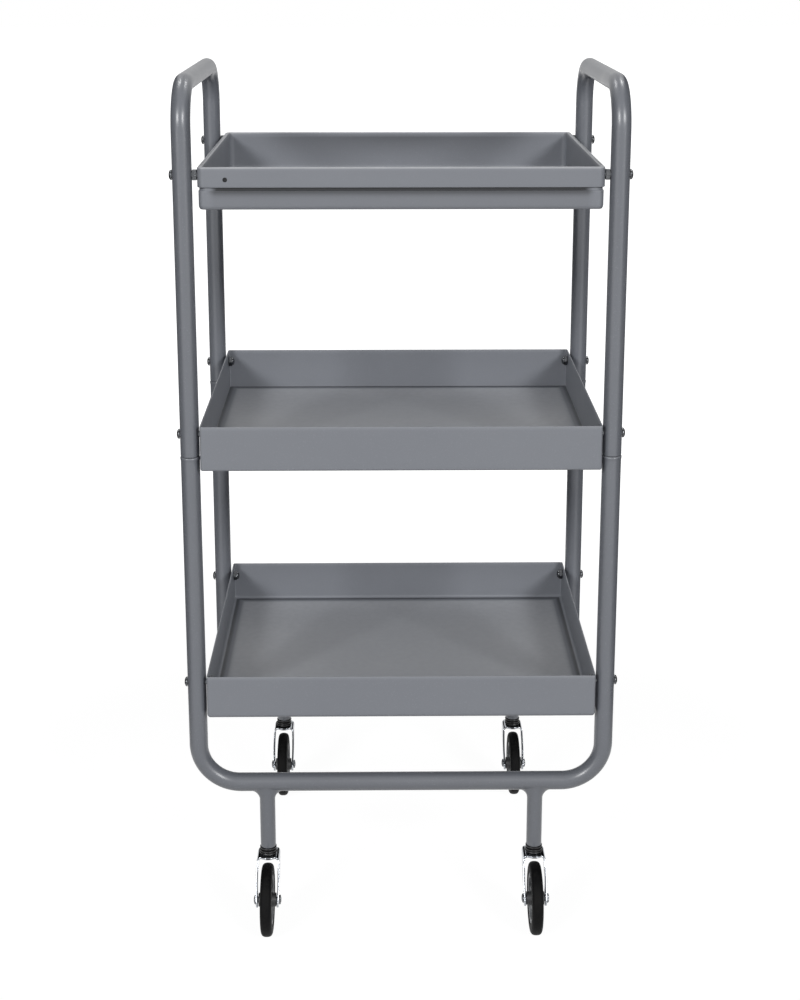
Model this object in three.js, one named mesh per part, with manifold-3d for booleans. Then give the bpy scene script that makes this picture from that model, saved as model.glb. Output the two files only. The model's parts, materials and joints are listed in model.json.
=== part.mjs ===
// Three-tier tray trolley on four swivel casters.
// Two U-shaped tubes, front and rear, form the lower posts and carry the casters.
// Two upside-down U tubes, left and right, plug into them and form the push handles.
// Three sheet-metal trays are bolted between the posts.
// Units are millimetres, +Z is up, -Y is the front, and the floor is at Z = 0.

import * as THREE from 'three';
import { mergeVertices } from 'three/addons/utils/BufferGeometryUtils.js';
import Module from 'manifold-3d';

const wasm = await Module();
wasm.setup();

// Overall layout
const POST_SPAN_X = 420;
const POST_SPAN_Y = 300;
const BOTTOM_RIM_RISE = 123.6;
const LOWER_TIER_RISE = 265;
const UPPER_TIER_RISE = 255.5;
const HANDLE_RISE = 86;

// Frame tubes
const TUBE_D = 19;
const TUBE_WALL = 1.2;
const BEND_R = 43;
const SEAM_DROP = 23;
const PLUG_END_LENGTH = 45;
const STEM_D = 16;
const STEM_WALL = 1.5;
const STEM_X = 140;
const STEM_LENGTH = 73;
const WELD_FLARE = 3.5;
const WELD_HEIGHT = 6;
const WELD_RISE = 2;
const WELD_SIDE_INSET = 0.5;

// Trays
const SHEET = 1.2;
const TRAY_HEIGHT = 46;
const TRAY_SIDE_GAP = 1.5;
const TRAY_OVERHANG = 13.5;
const TRAY_FOLD_R = 3;
const TOP_HEIGHT = 41.5;
const TOP_SIDE_GAP = 5;
const TOP_OVERHANG = 7.5;
const TOP_CORNER_R = 7;
const TOP_FOLD_R = 4;
const SKIRT_HEIGHT = 19.6;
const SKIRT_GAP = 2;
const SKIRT_EDGE_R = 1.6;
const BAND_INSET = 0.9;
const GROOVE_HEIGHT = 3.2;
const VENT_HOLE_D = 4.6;
const VENT_HOLE_INSET = 27;
const VENT_HOLE_DROP = 12;

// M6 fasteners
const BOLT_D = 6;
const BOLT_DROP = 10.4;
const TOP_BOLT_DROP = 8;
const HEX_FLATS = 10;
const HEAD_D = 10;
const HEAD_HEIGHT = 2.6;
const HEAD_EDGE = 0.6;
const DOME_NUT_BASE = 4;
const DOME_SHOULDER = 0.5;
const DOME_R = 4.6;
const DOME_RISE = 2.2;
const DOME_BORE = 5.4;
const BOLT_TIP_GAP = 1;

// Casters
const WHEEL_D = 75;
const TYRE_WIDTH = 12;
const TYRE_DEPTH = 11.5;
const TREAD_FLAT = 4;
const SHOULDER_SPAN = 9;
const SHOULDER_DROP = 1.6;
const BEAD_TAPER = 0.5;
const TRAIL = 27;
const CROWN_CLEARANCE = 3.3;
const CROWN_REACH = 11;
const CROWN_THICKNESS = 2.2;
const FORK_INNER = 19.6;
const FORK_THICKNESS = 2;
const FORK_EYE_R = 8;
const KINGPIN_D = 8;
const KINGPIN_HEAD_D = 13;
const KINGPIN_HEAD_HEIGHT = 2;
const BEARING_D = 19;
const BEARING_HEIGHT = 2.4;
const COLLAR_D = 18;
const COLLAR_HEIGHT = 5;
const SPIGOT_LENGTH = 30;
const AXLE_D = 6;
const AXLE_HEAD_D = 10;
const AXLE_HEAD_HEIGHT = 2.3;
const HUB_BOSS_D = 14;
const HUB_BOSS_DRAFT = 1;
const HUB_RIM_WIDTH = 10.4;
const HUB_RIM_DEPTH = 4;
const HUB_WEB = 4;

// Clearances: FIT is between pieces that meet, RUN is at the side of the turning wheel.
const FIT = 0.3;
const RUN = 0.6;

// Turned pieces have their sharp edges broken by this much.
const EDGE_BREAK = 1;

// Cutting blocks reach past what they cut: bores by OVERRUN, outlines by HEADROOM.
const OVERRUN = 1;
const HEADROOM = 50;

// Facets
const TUBE_SIDES = 12;
const BEND_STEPS = 5;
const WHEEL_SIDES = 20;
const PIN_SIDES = 12;
const HEX_SIDES = 6;
const FOLD_STEPS = 2;
const DOME_STEPS = 2;
const CORNER_STEPS = 2;
const EYE_STEPS = 8;

// An arc in a three.js shape takes two steps for each curve segment.
const arcSegments = (steps) => steps / 2;

// Shrinks a round hole's radius to what a pin can turn in, because the hole's sides are flat.
const insideFlats = (radius, sides) => radius * Math.cos(Math.PI / sides);
const hexRadius = HEX_FLATS / 2 / Math.cos(Math.PI / HEX_SIDES);

// Sizes worked out from the driving dimensions
const tubeR = TUBE_D / 2;
const boreR = tubeR - TUBE_WALL;
const plugR = insideFlats(boreR, TUBE_SIDES) - FIT;
const stemR = STEM_D / 2;
const stemBoreR = stemR - STEM_WALL;
const boltR = BOLT_D / 2;
const boltHoleR = boltR + FIT;
const wheelR = WHEEL_D / 2;
const wheelFlatR = insideFlats(wheelR, WHEEL_SIDES);
const kingpinR = KINGPIN_D / 2;
const kingpinHoleR = kingpinR + FIT;
const axleR = AXLE_D / 2;
const axleHoleR = axleR + FIT;
const forkOuterX = FORK_INNER / 2 + FORK_THICKNESS;

// Heights from the floor up
const axleZ = wheelFlatR;
const overWheel = Math.sqrt(wheelR ** 2 - (TRAIL - CROWN_REACH) ** 2);
const crownZ = axleZ + overWheel + CROWN_CLEARANCE;
const bearingZ = crownZ + CROWN_THICKNESS + FIT;
const collarZ = bearingZ + BEARING_HEIGHT + FIT;
const stemZ = collarZ + COLLAR_HEIGHT + FIT;
const barZ = stemZ + STEM_LENGTH;
const bottomRimZ = barZ + BOTTOM_RIM_RISE;
const middleRimZ = bottomRimZ + LOWER_TIER_RISE;
const topRimZ = middleRimZ + UPPER_TIER_RISE;
const bottomBoltZ = bottomRimZ - BOLT_DROP;
const middleBoltZ = middleRimZ - BOLT_DROP;
const topBoltZ = topRimZ - TOP_BOLT_DROP;
const seamZ = middleBoltZ - SEAM_DROP;
const handleZ = topRimZ + HANDLE_RISE - tubeR;

// Plan sizes
const postX = POST_SPAN_X / 2;
const postY = POST_SPAN_Y / 2;
const trayW = 2 * (postX - tubeR - TRAY_SIDE_GAP);
const trayD = POST_SPAN_Y + 2 * TRAY_OVERHANG;
const skirtW = 2 * (postX - tubeR - TOP_SIDE_GAP);
const skirtD = POST_SPAN_Y + 2 * TOP_OVERHANG;
const panInset = SHEET + SKIRT_GAP;

// The origin is under the middle of the whole trolley, front wheels included.
const frontReach = postY + TRAIL + wheelFlatR;
const rearReach = Math.max(trayD / 2, postY + tubeR, postY - TRAIL + wheelFlatR);
const originShift = (frontReach - rearReach) / 2;

const trolley = new THREE.Group();
trolley.position.y = originShift;

// Finishes

const FINISHES = {
  paint: { color: 0x83868d, roughness: 0.45, metalness: 0.1 },
  zinc: { color: 0x77797c, roughness: 0.4, metalness: 0.9 },
  chrome: { color: 0xc8cbce, roughness: 0.15, metalness: 1 },
  blackPlastic: { color: 0x17181a, roughness: 0.5, metalness: 0 },
  greyPlastic: { color: 0x8f9294, roughness: 0.55, metalness: 0 },
  rubber: { color: 0x121212, roughness: 0.75, metalness: 0 },
};

// Adds one finished piece to its group, at the group's own zero unless it is placed afterwards.
function addPiece(group, name, finish, body) {
  const mesh = new THREE.Mesh(toGeometry(body), new THREE.MeshStandardMaterial(FINISHES[finish]));
  mesh.name = name;
  group.add(mesh);
  return mesh;
}

// Joining and cutting

// Turns a closed geometry into a solid: corners are merged and triangles with no area are dropped.
function toSolid(geometry) {
  const plain = geometry.clone();
  plain.deleteAttribute('normal');
  plain.deleteAttribute('uv');
  const merged = mergeVertices(plain, 1e-4);
  const index = merged.index.array;
  const kept = [];
  for (let i = 0; i < index.length; i += 3) {
    const [a, b, c] = index.slice(i, i + 3);
    if (a !== b && b !== c && c !== a) kept.push(a, b, c);
  }
  const vertProperties = new Float32Array(merged.attributes.position.array);
  const triVerts = new Uint32Array(kept);
  return new wasm.Manifold(new wasm.Mesh({ numProp: 3, vertProperties, triVerts }));
}

function toGeometry(body) {
  const { vertProperties, triVerts } = body.getMesh();
  const geometry = new THREE.BufferGeometry();
  geometry.setAttribute('position', new THREE.BufferAttribute(vertProperties, 3));
  geometry.setIndex(new THREE.BufferAttribute(triVerts, 1));
  geometry.computeVertexNormals();
  return geometry;
}

const joinAll = (bodies) => bodies.reduce((whole, body) => whole.add(body));
const cutAll = (body, cutters) => cutters.reduce((whole, cutter) => whole.subtract(cutter), body);

// Basic solids

// A round bar along X from x0 to x1.
function rodX(radius, x0, x1, sides = PIN_SIDES) {
  const geometry = new THREE.CylinderGeometry(radius, radius, x1 - x0, sides);
  geometry.rotateZ(-Math.PI / 2);
  geometry.translate((x0 + x1) / 2, 0, 0);
  return toSolid(geometry);
}

// A round bar along Z from z0 to z1, with its own radius at each end.
function rodZ(z0, z1, lowR, highR = lowR, sides = PIN_SIDES) {
  const geometry = new THREE.CylinderGeometry(highR, lowR, z1 - z0, sides);
  geometry.rotateX(Math.PI / 2);
  geometry.translate(0, 0, (z0 + z1) / 2);
  return toSolid(geometry);
}

// A profile of [radius, height] points turned round Z.
function turnedZ(profile, sides) {
  const points = profile.map(([r, h]) => new THREE.Vector2(r, h));
  const geometry = new THREE.LatheGeometry(points, sides, Math.PI / sides);
  geometry.rotateX(Math.PI / 2);
  return toSolid(geometry);
}

// A profile of [radius, x] points turned round X, with a flat side at the bottom.
function turnedX(profile, sides) {
  const points = profile.map(([r, x]) => new THREE.Vector2(r, x));
  const geometry = new THREE.LatheGeometry(points, sides, Math.PI / sides);
  geometry.rotateZ(-Math.PI / 2);
  return toSolid(geometry);
}

// A rectangle centred on the origin, with round corners where a radius is given.
function rectangle(width, depth, radius = 0) {
  const x = width / 2;
  const y = depth / 2;
  const shape = new THREE.Shape();
  if (radius === 0) {
    shape.moveTo(-x, -y);
    shape.lineTo(x, -y);
    shape.lineTo(x, y);
    shape.lineTo(-x, y);
    return shape;
  }
  shape.absarc(x - radius, -y + radius, radius, -Math.PI / 2, 0);
  shape.absarc(x - radius, y - radius, radius, 0, Math.PI / 2);
  shape.absarc(-x + radius, y - radius, radius, Math.PI / 2, Math.PI);
  shape.absarc(-x + radius, -y + radius, radius, Math.PI, 1.5 * Math.PI);
  return shape;
}

// An upright block of an outline from z0 to z1. A fold rounds both of its ends.
function block(shape, z0, z1, fold = 0) {
  const geometry = new THREE.ExtrudeGeometry(shape, {
    depth: z1 - z0 - 2 * fold,
    bevelEnabled: fold > 0,
    bevelThickness: fold,
    bevelSize: fold,
    bevelOffset: -fold,
    bevelSegments: FOLD_STEPS,
    curveSegments: arcSegments(CORNER_STEPS),
  });
  geometry.translate(0, 0, z0 + fold);
  return toSolid(geometry);
}

// A route of straight runs and quarter bends through square corners.
class BentRoute extends THREE.Curve {
  constructor(corners, radius) {
    super();
    const last = corners.length - 1;
    const heading = (i) => corners[i + 1].clone().sub(corners[i]).normalize();
    this.points = [corners[0]];
    this.tangents = [heading(0)];
    for (let i = 1; i < last; i += 1) {
      const before = heading(i - 1);
      const after = heading(i);
      const start = corners[i].clone().addScaledVector(before, -radius);
      for (let k = 0; k <= BEND_STEPS; k += 1) {
        const angle = (k / BEND_STEPS) * (Math.PI / 2);
        const point = start.clone().addScaledVector(before, radius * Math.sin(angle));
        point.addScaledVector(after, radius * (1 - Math.cos(angle)));
        const tangent = before.clone().multiplyScalar(Math.cos(angle));
        tangent.addScaledVector(after, Math.sin(angle));
        this.points.push(point);
        this.tangents.push(tangent);
      }
    }
    this.points.push(corners[last]);
    this.tangents.push(heading(last - 1));
  }

  get steps() {
    return this.points.length - 1;
  }

  between(list, t) {
    const place = Math.min(Math.max(t, 0), 1) * this.steps;
    const low = Math.min(Math.floor(place), this.steps - 1);
    return list[low].clone().lerp(list[low + 1], place - low);
  }

  getPoint(t) {
    return this.between(this.points, t);
  }

  getPointAt(t) {
    return this.getPoint(t);
  }

  getTangentAt(t) {
    return this.between(this.tangents, t).normalize();
  }
}

function bar(corners, radius) {
  const section = new THREE.Shape();
  section.absarc(0, 0, radius, 0, 2 * Math.PI);
  const route = new BentRoute(corners, BEND_R);
  const geometry = new THREE.ExtrudeGeometry(section, {
    steps: route.steps,
    extrudePath: route,
    bevelEnabled: false,
    curveSegments: arcSegments(TUBE_SIDES),
  });
  return toSolid(geometry);
}

const point = (x, y, z) => new THREE.Vector3(x, y, z);
const SIDES_X = [['left', -1], ['right', 1]];
const SIDES_Y = [['front', -1], ['rear', 1]];
const CORNERS = SIDES_Y.flatMap(([end, sy]) => SIDES_X.map(([side, sx]) => ({
  name: `${end}_${side}`,
  sx,
  sy,
})));

// Lower frames

// One U tube: two posts, the bar between them, and two welded stems for the casters.
function lowerFrame(y) {
  const route = (top) => [
    point(-postX, y, top),
    point(-postX, y, barZ),
    point(postX, y, barZ),
    point(postX, y, top),
  ];
  const stems = SIDES_X.map(([, sx]) => rodZ(stemZ, barZ, stemR).translate([sx * STEM_X, y, 0]));
  const weldTop = barZ - tubeR + WELD_RISE;
  const flare = rodZ(weldTop - WELD_HEIGHT, weldTop, stemR, stemR + WELD_FLARE);
  const narrow = (tubeR - WELD_SIDE_INSET) / (stemR + WELD_FLARE);
  const welds = SIDES_X.map(([, sx]) => flare.scale([1, narrow, 1]).translate([sx * STEM_X, y, 0]));
  const outside = joinAll([bar(route(seamZ), tubeR), ...stems, ...welds]);
  const stemBoreTop = barZ - tubeR - STEM_WALL;
  const stemBores = SIDES_X.map(([, sx]) => (
    rodZ(stemZ - OVERRUN, stemBoreTop, stemBoreR).translate([sx * STEM_X, y, 0])
  ));
  const boltHoles = SIDES_X.map(([, sx]) => (
    rodX(boltHoleR, -TUBE_D, TUBE_D).translate([sx * postX, y, bottomBoltZ])
  ));
  return cutAll(outside, [bar(route(seamZ + OVERRUN), boreR), ...stemBores, ...boltHoles]);
}

SIDES_Y.forEach(([end, sy]) => {
  addPiece(trolley, `${end}_lower_frame`, 'paint', lowerFrame(sy * postY));
});

// Handle frames

// One upside-down U tube, whose two ends are drawn in to plug into the lower posts.
function handleFrame(x) {
  const foot = seamZ + FIT;
  const neck = foot + tubeR;
  const route = (bottom) => [
    point(x, -postY, bottom),
    point(x, -postY, handleZ),
    point(x, postY, handleZ),
    point(x, postY, bottom),
  ];
  const plugs = SIDES_Y.map(([, sy]) => (
    rodZ(seamZ - PLUG_END_LENGTH, neck, plugR, plugR, TUBE_SIDES).translate([x, sy * postY, 0])
  ));
  const plugBores = SIDES_Y.map(([, sy]) => {
    const low = seamZ - PLUG_END_LENGTH - OVERRUN;
    return rodZ(low, neck + OVERRUN, plugR - TUBE_WALL).translate([x, sy * postY, 0]);
  });
  const boltHoles = SIDES_Y.flatMap(([, sy]) => [middleBoltZ, topBoltZ].map((z) => (
    rodX(boltHoleR, -TUBE_D, TUBE_D).translate([x, sy * postY, z])
  )));
  const outside = joinAll([bar(route(foot), tubeR), ...plugs]);
  return cutAll(outside, [bar(route(neck), boreR), ...plugBores, ...boltHoles]);
}

SIDES_X.forEach(([side, sx]) => {
  addPiece(trolley, `${side}_handle_frame`, 'paint', handleFrame(sx * postX));
});

// Trays

// Bolt holes through both side walls of a tray.
function sideHoles(width, boltZ) {
  return SIDES_Y.map(([, sy]) => (
    rodX(boltHoleR, -width, width).translate([0, sy * postY, boltZ])
  ));
}

// A plain folded tray, open at the top.
function plainTray(rimZ, boltZ) {
  const floorZ = rimZ - TRAY_HEIGHT;
  const outer = block(rectangle(trayW, trayD), floorZ, rimZ + HEADROOM, TRAY_FOLD_R);
  const inside = rectangle(trayW - 2 * SHEET, trayD - 2 * SHEET);
  const hollow = block(inside, floorZ + SHEET, rimZ + 2 * HEADROOM, TRAY_FOLD_R - SHEET);
  const above = block(rectangle(2 * trayW, 2 * trayD), rimZ, rimZ + 2 * HEADROOM);
  return cutAll(outer, [above, hollow, ...sideHoles(trayW, boltZ)]);
}

// The top tray: a round-cornered pan whose rim is folded out and down into a skirt.
// A folded band stiffens the pan's wall below the skirt, and leaves a groove between them.
function topTray() {
  const floorZ = topRimZ - TOP_HEIGHT;
  const skirtZ = topRimZ - SKIRT_HEIGHT;
  const outline = (inset) => (
    rectangle(skirtW - 2 * inset, skirtD - 2 * inset, TOP_CORNER_R - inset)
  );
  const lid = block(outline(0), skirtZ - HEADROOM, topRimZ, SKIRT_EDGE_R);
  const underSkirt = block(rectangle(2 * skirtW, 2 * skirtD), skirtZ - 2 * HEADROOM, skirtZ);
  const slot = block(outline(SHEET), skirtZ - HEADROOM, topRimZ - SHEET);
  const panOutline = rectangle(skirtW - 2 * panInset, skirtD - 2 * panInset, TOP_CORNER_R);
  const pan = block(panOutline, floorZ, topRimZ + HEADROOM, TOP_FOLD_R);
  const above = block(rectangle(2 * skirtW, 2 * skirtD), topRimZ, topRimZ + 2 * HEADROOM);
  const hollowInset = panInset + SHEET;
  const hollowOutline = rectangle(
    skirtW - 2 * hollowInset,
    skirtD - 2 * hollowInset,
    TOP_CORNER_R - SHEET,
  );
  const hollowTop = topRimZ + 2 * HEADROOM;
  const hollow = block(hollowOutline, floorZ + SHEET, hollowTop, TOP_FOLD_R - SHEET);
  const skirt = cutAll(lid, [underSkirt, slot]);
  const bandZ = skirtZ - GROOVE_HEIGHT;
  const bandSlot = block(outline(BAND_INSET + SHEET), floorZ - HEADROOM, bandZ - SHEET);
  const band = block(outline(BAND_INSET), floorZ, bandZ).subtract(bandSlot);
  const vent = rodX(VENT_HOLE_D / 2, -SKIRT_GAP, SKIRT_GAP).rotate([0, 0, 90]);
  const ventHole = vent.translate([
    VENT_HOLE_INSET - skirtW / 2,
    (SHEET - skirtD) / 2,
    topRimZ - VENT_HOLE_DROP,
  ]);
  const holeReach = skirtW / 2 - SHEET - SKIRT_GAP / 2;
  const boltHoles = CORNERS.map(({ sx, sy }) => {
    const ends = [sx * holeReach, sx * skirtW].sort((a, b) => a - b);
    return rodX(boltHoleR, ends[0], ends[1]).translate([0, sy * postY, topBoltZ]);
  });
  return cutAll(joinAll([skirt, pan, band]), [above, hollow, ventHole, ...boltHoles]);
}

addPiece(trolley, 'top_tray', 'paint', topTray());
addPiece(trolley, 'middle_tray', 'paint', plainTray(middleRimZ, middleBoltZ));
addPiece(trolley, 'bottom_tray', 'paint', plainTray(bottomRimZ, bottomBoltZ));

// Bolts and nuts

// The points of a quarter ellipse from the rim of a dome to its top, as [radius, x].
function domeArc(radius, rimX, topX) {
  return Array.from({ length: DOME_STEPS + 1 }, (_, k) => {
    const angle = (k / DOME_STEPS) * (Math.PI / 2);
    return [radius * Math.cos(angle), rimX + (topX - rimX) * Math.sin(angle)];
  });
}

// A round-head bolt along X: the head outside the post, the tip at x = tip.
function bolt(tip) {
  const seat = tubeR + FIT;
  const headR = HEAD_D / 2;
  return turnedX([
    [0, tip],
    [boltR - EDGE_BREAK, tip],
    [boltR, tip + EDGE_BREAK],
    [boltR, seat],
    [headR, seat],
    ...domeArc(headR, seat + HEAD_EDGE, seat + HEAD_HEIGHT),
  ], PIN_SIDES);
}

// A low dome nut, from its seat at x = seat inwards.
function domeNut(seat) {
  const base = rodX(hexRadius, seat - DOME_NUT_BASE, seat, HEX_SIDES);
  const rimX = seat - DOME_NUT_BASE - DOME_SHOULDER;
  const topX = rimX - DOME_RISE;
  const dome = turnedX([...domeArc(DOME_R, rimX, topX).reverse(), [DOME_R, seat], [0, seat]], PIN_SIDES);
  return base.add(dome).subtract(rodX(boltHoleR, seat - DOME_BORE, seat + OVERRUN));
}

// A hexagon nut that fills the space between a post and the skirt.
function weldNut() {
  const low = -tubeR - TOP_SIDE_GAP + FIT;
  const high = -tubeR - FIT;
  const hole = rodX(boltHoleR, low - OVERRUN, high + OVERRUN);
  return rodX(hexRadius, low, high, HEX_SIDES).subtract(hole);
}

const trayWallX = -tubeR - TRAY_SIDE_GAP - SHEET;
const domeSeat = trayWallX - FIT;
const skirtWallX = -tubeR - TOP_SIDE_GAP - SHEET;
const TIERS = [
  { tier: 'top', z: topBoltZ, tip: skirtWallX - SKIRT_GAP / 2, nut: 'weld_nut', body: weldNut() },
  {
    tier: 'middle',
    z: middleBoltZ,
    tip: domeSeat - DOME_BORE + BOLT_TIP_GAP,
    nut: 'dome_nut',
    body: domeNut(domeSeat),
  },
  {
    tier: 'bottom',
    z: bottomBoltZ,
    tip: domeSeat - DOME_BORE + BOLT_TIP_GAP,
    nut: 'dome_nut',
    body: domeNut(domeSeat),
  },
];

TIERS.forEach(({ tier, z, tip, nut, body }) => {
  CORNERS.forEach(({ name, sx, sy }) => {
    const joint = new THREE.Group();
    joint.position.set(sx * postX, sy * postY, z);
    joint.rotation.z = sx > 0 ? 0 : Math.PI;
    trolley.add(joint);
    addPiece(joint, `${tier}_bolt_${name}`, 'zinc', bolt(tip));
    addPiece(joint, `${tier}_${nut}_${name}`, 'zinc', body);
  });
});

// Casters. Each is built round its kingpin, which stands on the group's Z axis.

// The black plastic plug in the stem, with a collar under the stem's end.
function stemPlug() {
  const spigotR = insideFlats(stemBoreR, PIN_SIDES) - FIT;
  const collarR = COLLAR_D / 2;
  const top = stemZ + SPIGOT_LENGTH;
  return turnedZ([
    [kingpinHoleR, collarZ],
    [collarR - EDGE_BREAK, collarZ],
    [collarR, collarZ + EDGE_BREAK],
    [collarR, collarZ + COLLAR_HEIGHT],
    [spigotR, collarZ + COLLAR_HEIGHT],
    [spigotR, top],
    [kingpinHoleR, top],
    [kingpinHoleR, collarZ],
  ], PIN_SIDES);
}

// The kingpin, with its head under the fork's crown.
function kingpin() {
  const headR = KINGPIN_HEAD_D / 2;
  const seat = crownZ - FIT;
  const top = stemZ + SPIGOT_LENGTH + EDGE_BREAK;
  return turnedZ([
    [0, seat - KINGPIN_HEAD_HEIGHT],
    [headR - EDGE_BREAK, seat - KINGPIN_HEAD_HEIGHT],
    [headR, seat - KINGPIN_HEAD_HEIGHT + EDGE_BREAK],
    [headR, seat],
    [kingpinR, seat],
    [kingpinR, top - EDGE_BREAK],
    [kingpinR - EDGE_BREAK, top],
    [0, top],
  ], PIN_SIDES);
}

// The swivel bearing between the crown and the collar.
function swivelBearing() {
  const radius = BEARING_D / 2;
  const middle = bearingZ + BEARING_HEIGHT / 2;
  return turnedZ([
    [kingpinHoleR, bearingZ],
    [radius - EDGE_BREAK, bearingZ],
    [radius, middle],
    [radius - EDGE_BREAK, bearingZ + BEARING_HEIGHT],
    [kingpinHoleR, bearingZ + BEARING_HEIGHT],
    [kingpinHoleR, bearingZ],
  ], PIN_SIDES);
}

// The fork: a crown plate over the wheel, and two cheeks that sweep back to the axle.
function fork() {
  const crownTop = crownZ + CROWN_THICKNESS;
  const cheekShape = new THREE.Shape();
  cheekShape.moveTo(-CROWN_REACH, crownTop);
  cheekShape.lineTo(-TRAIL - FORK_EYE_R, axleZ);
  cheekShape.absarc(-TRAIL, axleZ, FORK_EYE_R, Math.PI, 2 * Math.PI);
  cheekShape.lineTo(CROWN_REACH, crownZ - CROWN_CLEARANCE);
  cheekShape.lineTo(CROWN_REACH, crownTop);
  const along = new THREE.Matrix4().makeBasis(point(0, 1, 0), point(0, 0, 1), point(1, 0, 0));
  const cheek = new THREE.ExtrudeGeometry(cheekShape, {
    depth: FORK_THICKNESS,
    bevelEnabled: false,
    curveSegments: arcSegments(EYE_STEPS),
  });
  cheek.applyMatrix4(along);
  const plate = toSolid(cheek);
  const cheeks = [-forkOuterX, FORK_INNER / 2].map((x) => plate.translate([x, 0, 0]));
  const crown = block(rectangle(2 * forkOuterX, 2 * CROWN_REACH), crownZ, crownTop);
  const kingpinHole = rodZ(crownZ - OVERRUN, crownTop + OVERRUN, kingpinHoleR);
  const axleHole = rodX(axleHoleR, -2 * forkOuterX, 2 * forkOuterX).translate([0, -TRAIL, axleZ]);
  return cutAll(joinAll([crown, ...cheeks]), [kingpinHole, axleHole]);
}

// The riveted axle, with a head outside each cheek.
function axle() {
  const headR = AXLE_HEAD_D / 2;
  const seat = forkOuterX + FIT;
  const end = seat + AXLE_HEAD_HEIGHT;
  return turnedX([
    [0, -end],
    [headR - EDGE_BREAK, -end],
    [headR, -seat - EDGE_BREAK],
    [headR, -seat],
    [axleR, -seat],
    [axleR, seat],
    [headR, seat],
    [headR, seat + EDGE_BREAK],
    [headR - EDGE_BREAK, end],
    [0, end],
  ], PIN_SIDES);
}

// The wheel's centre: a boss on the axle, a web, and a rim under the tyre.
function hub() {
  const rimR = wheelR - TYRE_DEPTH - FIT;
  const bossX = FORK_INNER / 2 - RUN;
  const bossR = HUB_BOSS_D / 2;
  const rimX = HUB_RIM_WIDTH / 2;
  const webX = HUB_WEB / 2;
  const side = [
    [axleHoleR, bossX],
    [bossR, bossX],
    [bossR + HUB_BOSS_DRAFT, webX],
    [rimR - HUB_RIM_DEPTH, webX],
    [rimR - HUB_RIM_DEPTH, rimX],
    [rimR, rimX],
  ];
  const otherSide = side.map(([r, x]) => [r, -x]);
  return turnedX([...otherSide, ...side.reverse(), otherSide[0]], WHEEL_SIDES);
}

// The tyre: a ring with rounded shoulders and a flat tread.
function tyre() {
  const innerR = wheelR - TYRE_DEPTH;
  const middleR = wheelR - TYRE_DEPTH / 2;
  const side = [
    [innerR, TYRE_WIDTH / 2 - BEAD_TAPER],
    [middleR, TYRE_WIDTH / 2],
    [wheelR - SHOULDER_DROP, SHOULDER_SPAN / 2],
    [wheelR, TREAD_FLAT / 2],
  ];
  const otherSide = side.map(([r, x]) => [r, -x]);
  return turnedX([...otherSide, ...side.reverse(), otherSide[0]], WHEEL_SIDES);
}

CORNERS.forEach(({ name, sx, sy }) => {
  const caster = new THREE.Group();
  caster.position.set(sx * STEM_X, sy * postY, 0);
  trolley.add(caster);
  addPiece(caster, `stem_plug_${name}`, 'blackPlastic', stemPlug());
  addPiece(caster, `kingpin_${name}`, 'zinc', kingpin());
  addPiece(caster, `swivel_bearing_${name}`, 'blackPlastic', swivelBearing());
  addPiece(caster, `fork_${name}`, 'chrome', fork());
  const wheel = new THREE.Group();
  wheel.position.set(0, -TRAIL, axleZ);
  caster.add(wheel);
  addPiece(wheel, `axle_${name}`, 'zinc', axle());
  addPiece(wheel, `hub_${name}`, 'greyPlastic', hub());
  addPiece(wheel, `tyre_${name}`, 'rubber', tyre());
});

export default trolley;
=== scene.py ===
# %% [markdown]
# # A grey tray trolley, finished in Blender
#
# The real trolley is four bent steel tubes, three folded sheet-metal trays, a dozen bolts and four
# casters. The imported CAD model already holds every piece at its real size, but with flat facets.
# This lesson rebuilds each piece as a smooth surface worked out with numpy, gives it a finish made
# of shader nodes, and sets up a small photo studio.
#
# The first cell loads the CAD frame. Everything after it takes its places from the frame's boxes,
# so a piece always lands where the CAD says, with no fitting by eye.

# %% Load the frame
import json
import bmesh
import bpy
import numpy as np
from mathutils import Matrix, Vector

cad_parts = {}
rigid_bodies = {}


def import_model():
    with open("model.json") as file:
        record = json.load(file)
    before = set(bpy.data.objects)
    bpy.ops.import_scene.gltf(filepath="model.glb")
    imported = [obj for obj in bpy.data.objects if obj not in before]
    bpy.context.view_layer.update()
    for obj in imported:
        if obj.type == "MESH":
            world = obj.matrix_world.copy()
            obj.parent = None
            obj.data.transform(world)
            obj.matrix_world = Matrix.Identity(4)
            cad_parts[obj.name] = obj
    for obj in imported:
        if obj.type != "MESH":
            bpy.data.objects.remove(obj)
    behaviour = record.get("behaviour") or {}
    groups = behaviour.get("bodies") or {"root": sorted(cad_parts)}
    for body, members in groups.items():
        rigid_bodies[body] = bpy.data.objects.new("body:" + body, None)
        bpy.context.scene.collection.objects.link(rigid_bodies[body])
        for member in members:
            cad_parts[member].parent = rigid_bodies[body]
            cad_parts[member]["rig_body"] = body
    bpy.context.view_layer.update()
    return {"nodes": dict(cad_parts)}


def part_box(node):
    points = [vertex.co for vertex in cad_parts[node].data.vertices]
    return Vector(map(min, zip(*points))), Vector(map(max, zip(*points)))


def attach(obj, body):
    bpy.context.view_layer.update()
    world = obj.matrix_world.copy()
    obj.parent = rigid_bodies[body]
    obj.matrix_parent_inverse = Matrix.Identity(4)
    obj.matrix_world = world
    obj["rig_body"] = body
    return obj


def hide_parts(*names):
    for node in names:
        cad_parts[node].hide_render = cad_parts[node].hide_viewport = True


MM = 0.001
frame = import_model()
CORNERS = ["front_left", "front_right", "rear_left", "rear_right"]


def measure(node):
    """Lowest and highest corner of a CAD node, as the two rows of one array."""
    return np.array(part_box(node))


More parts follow.
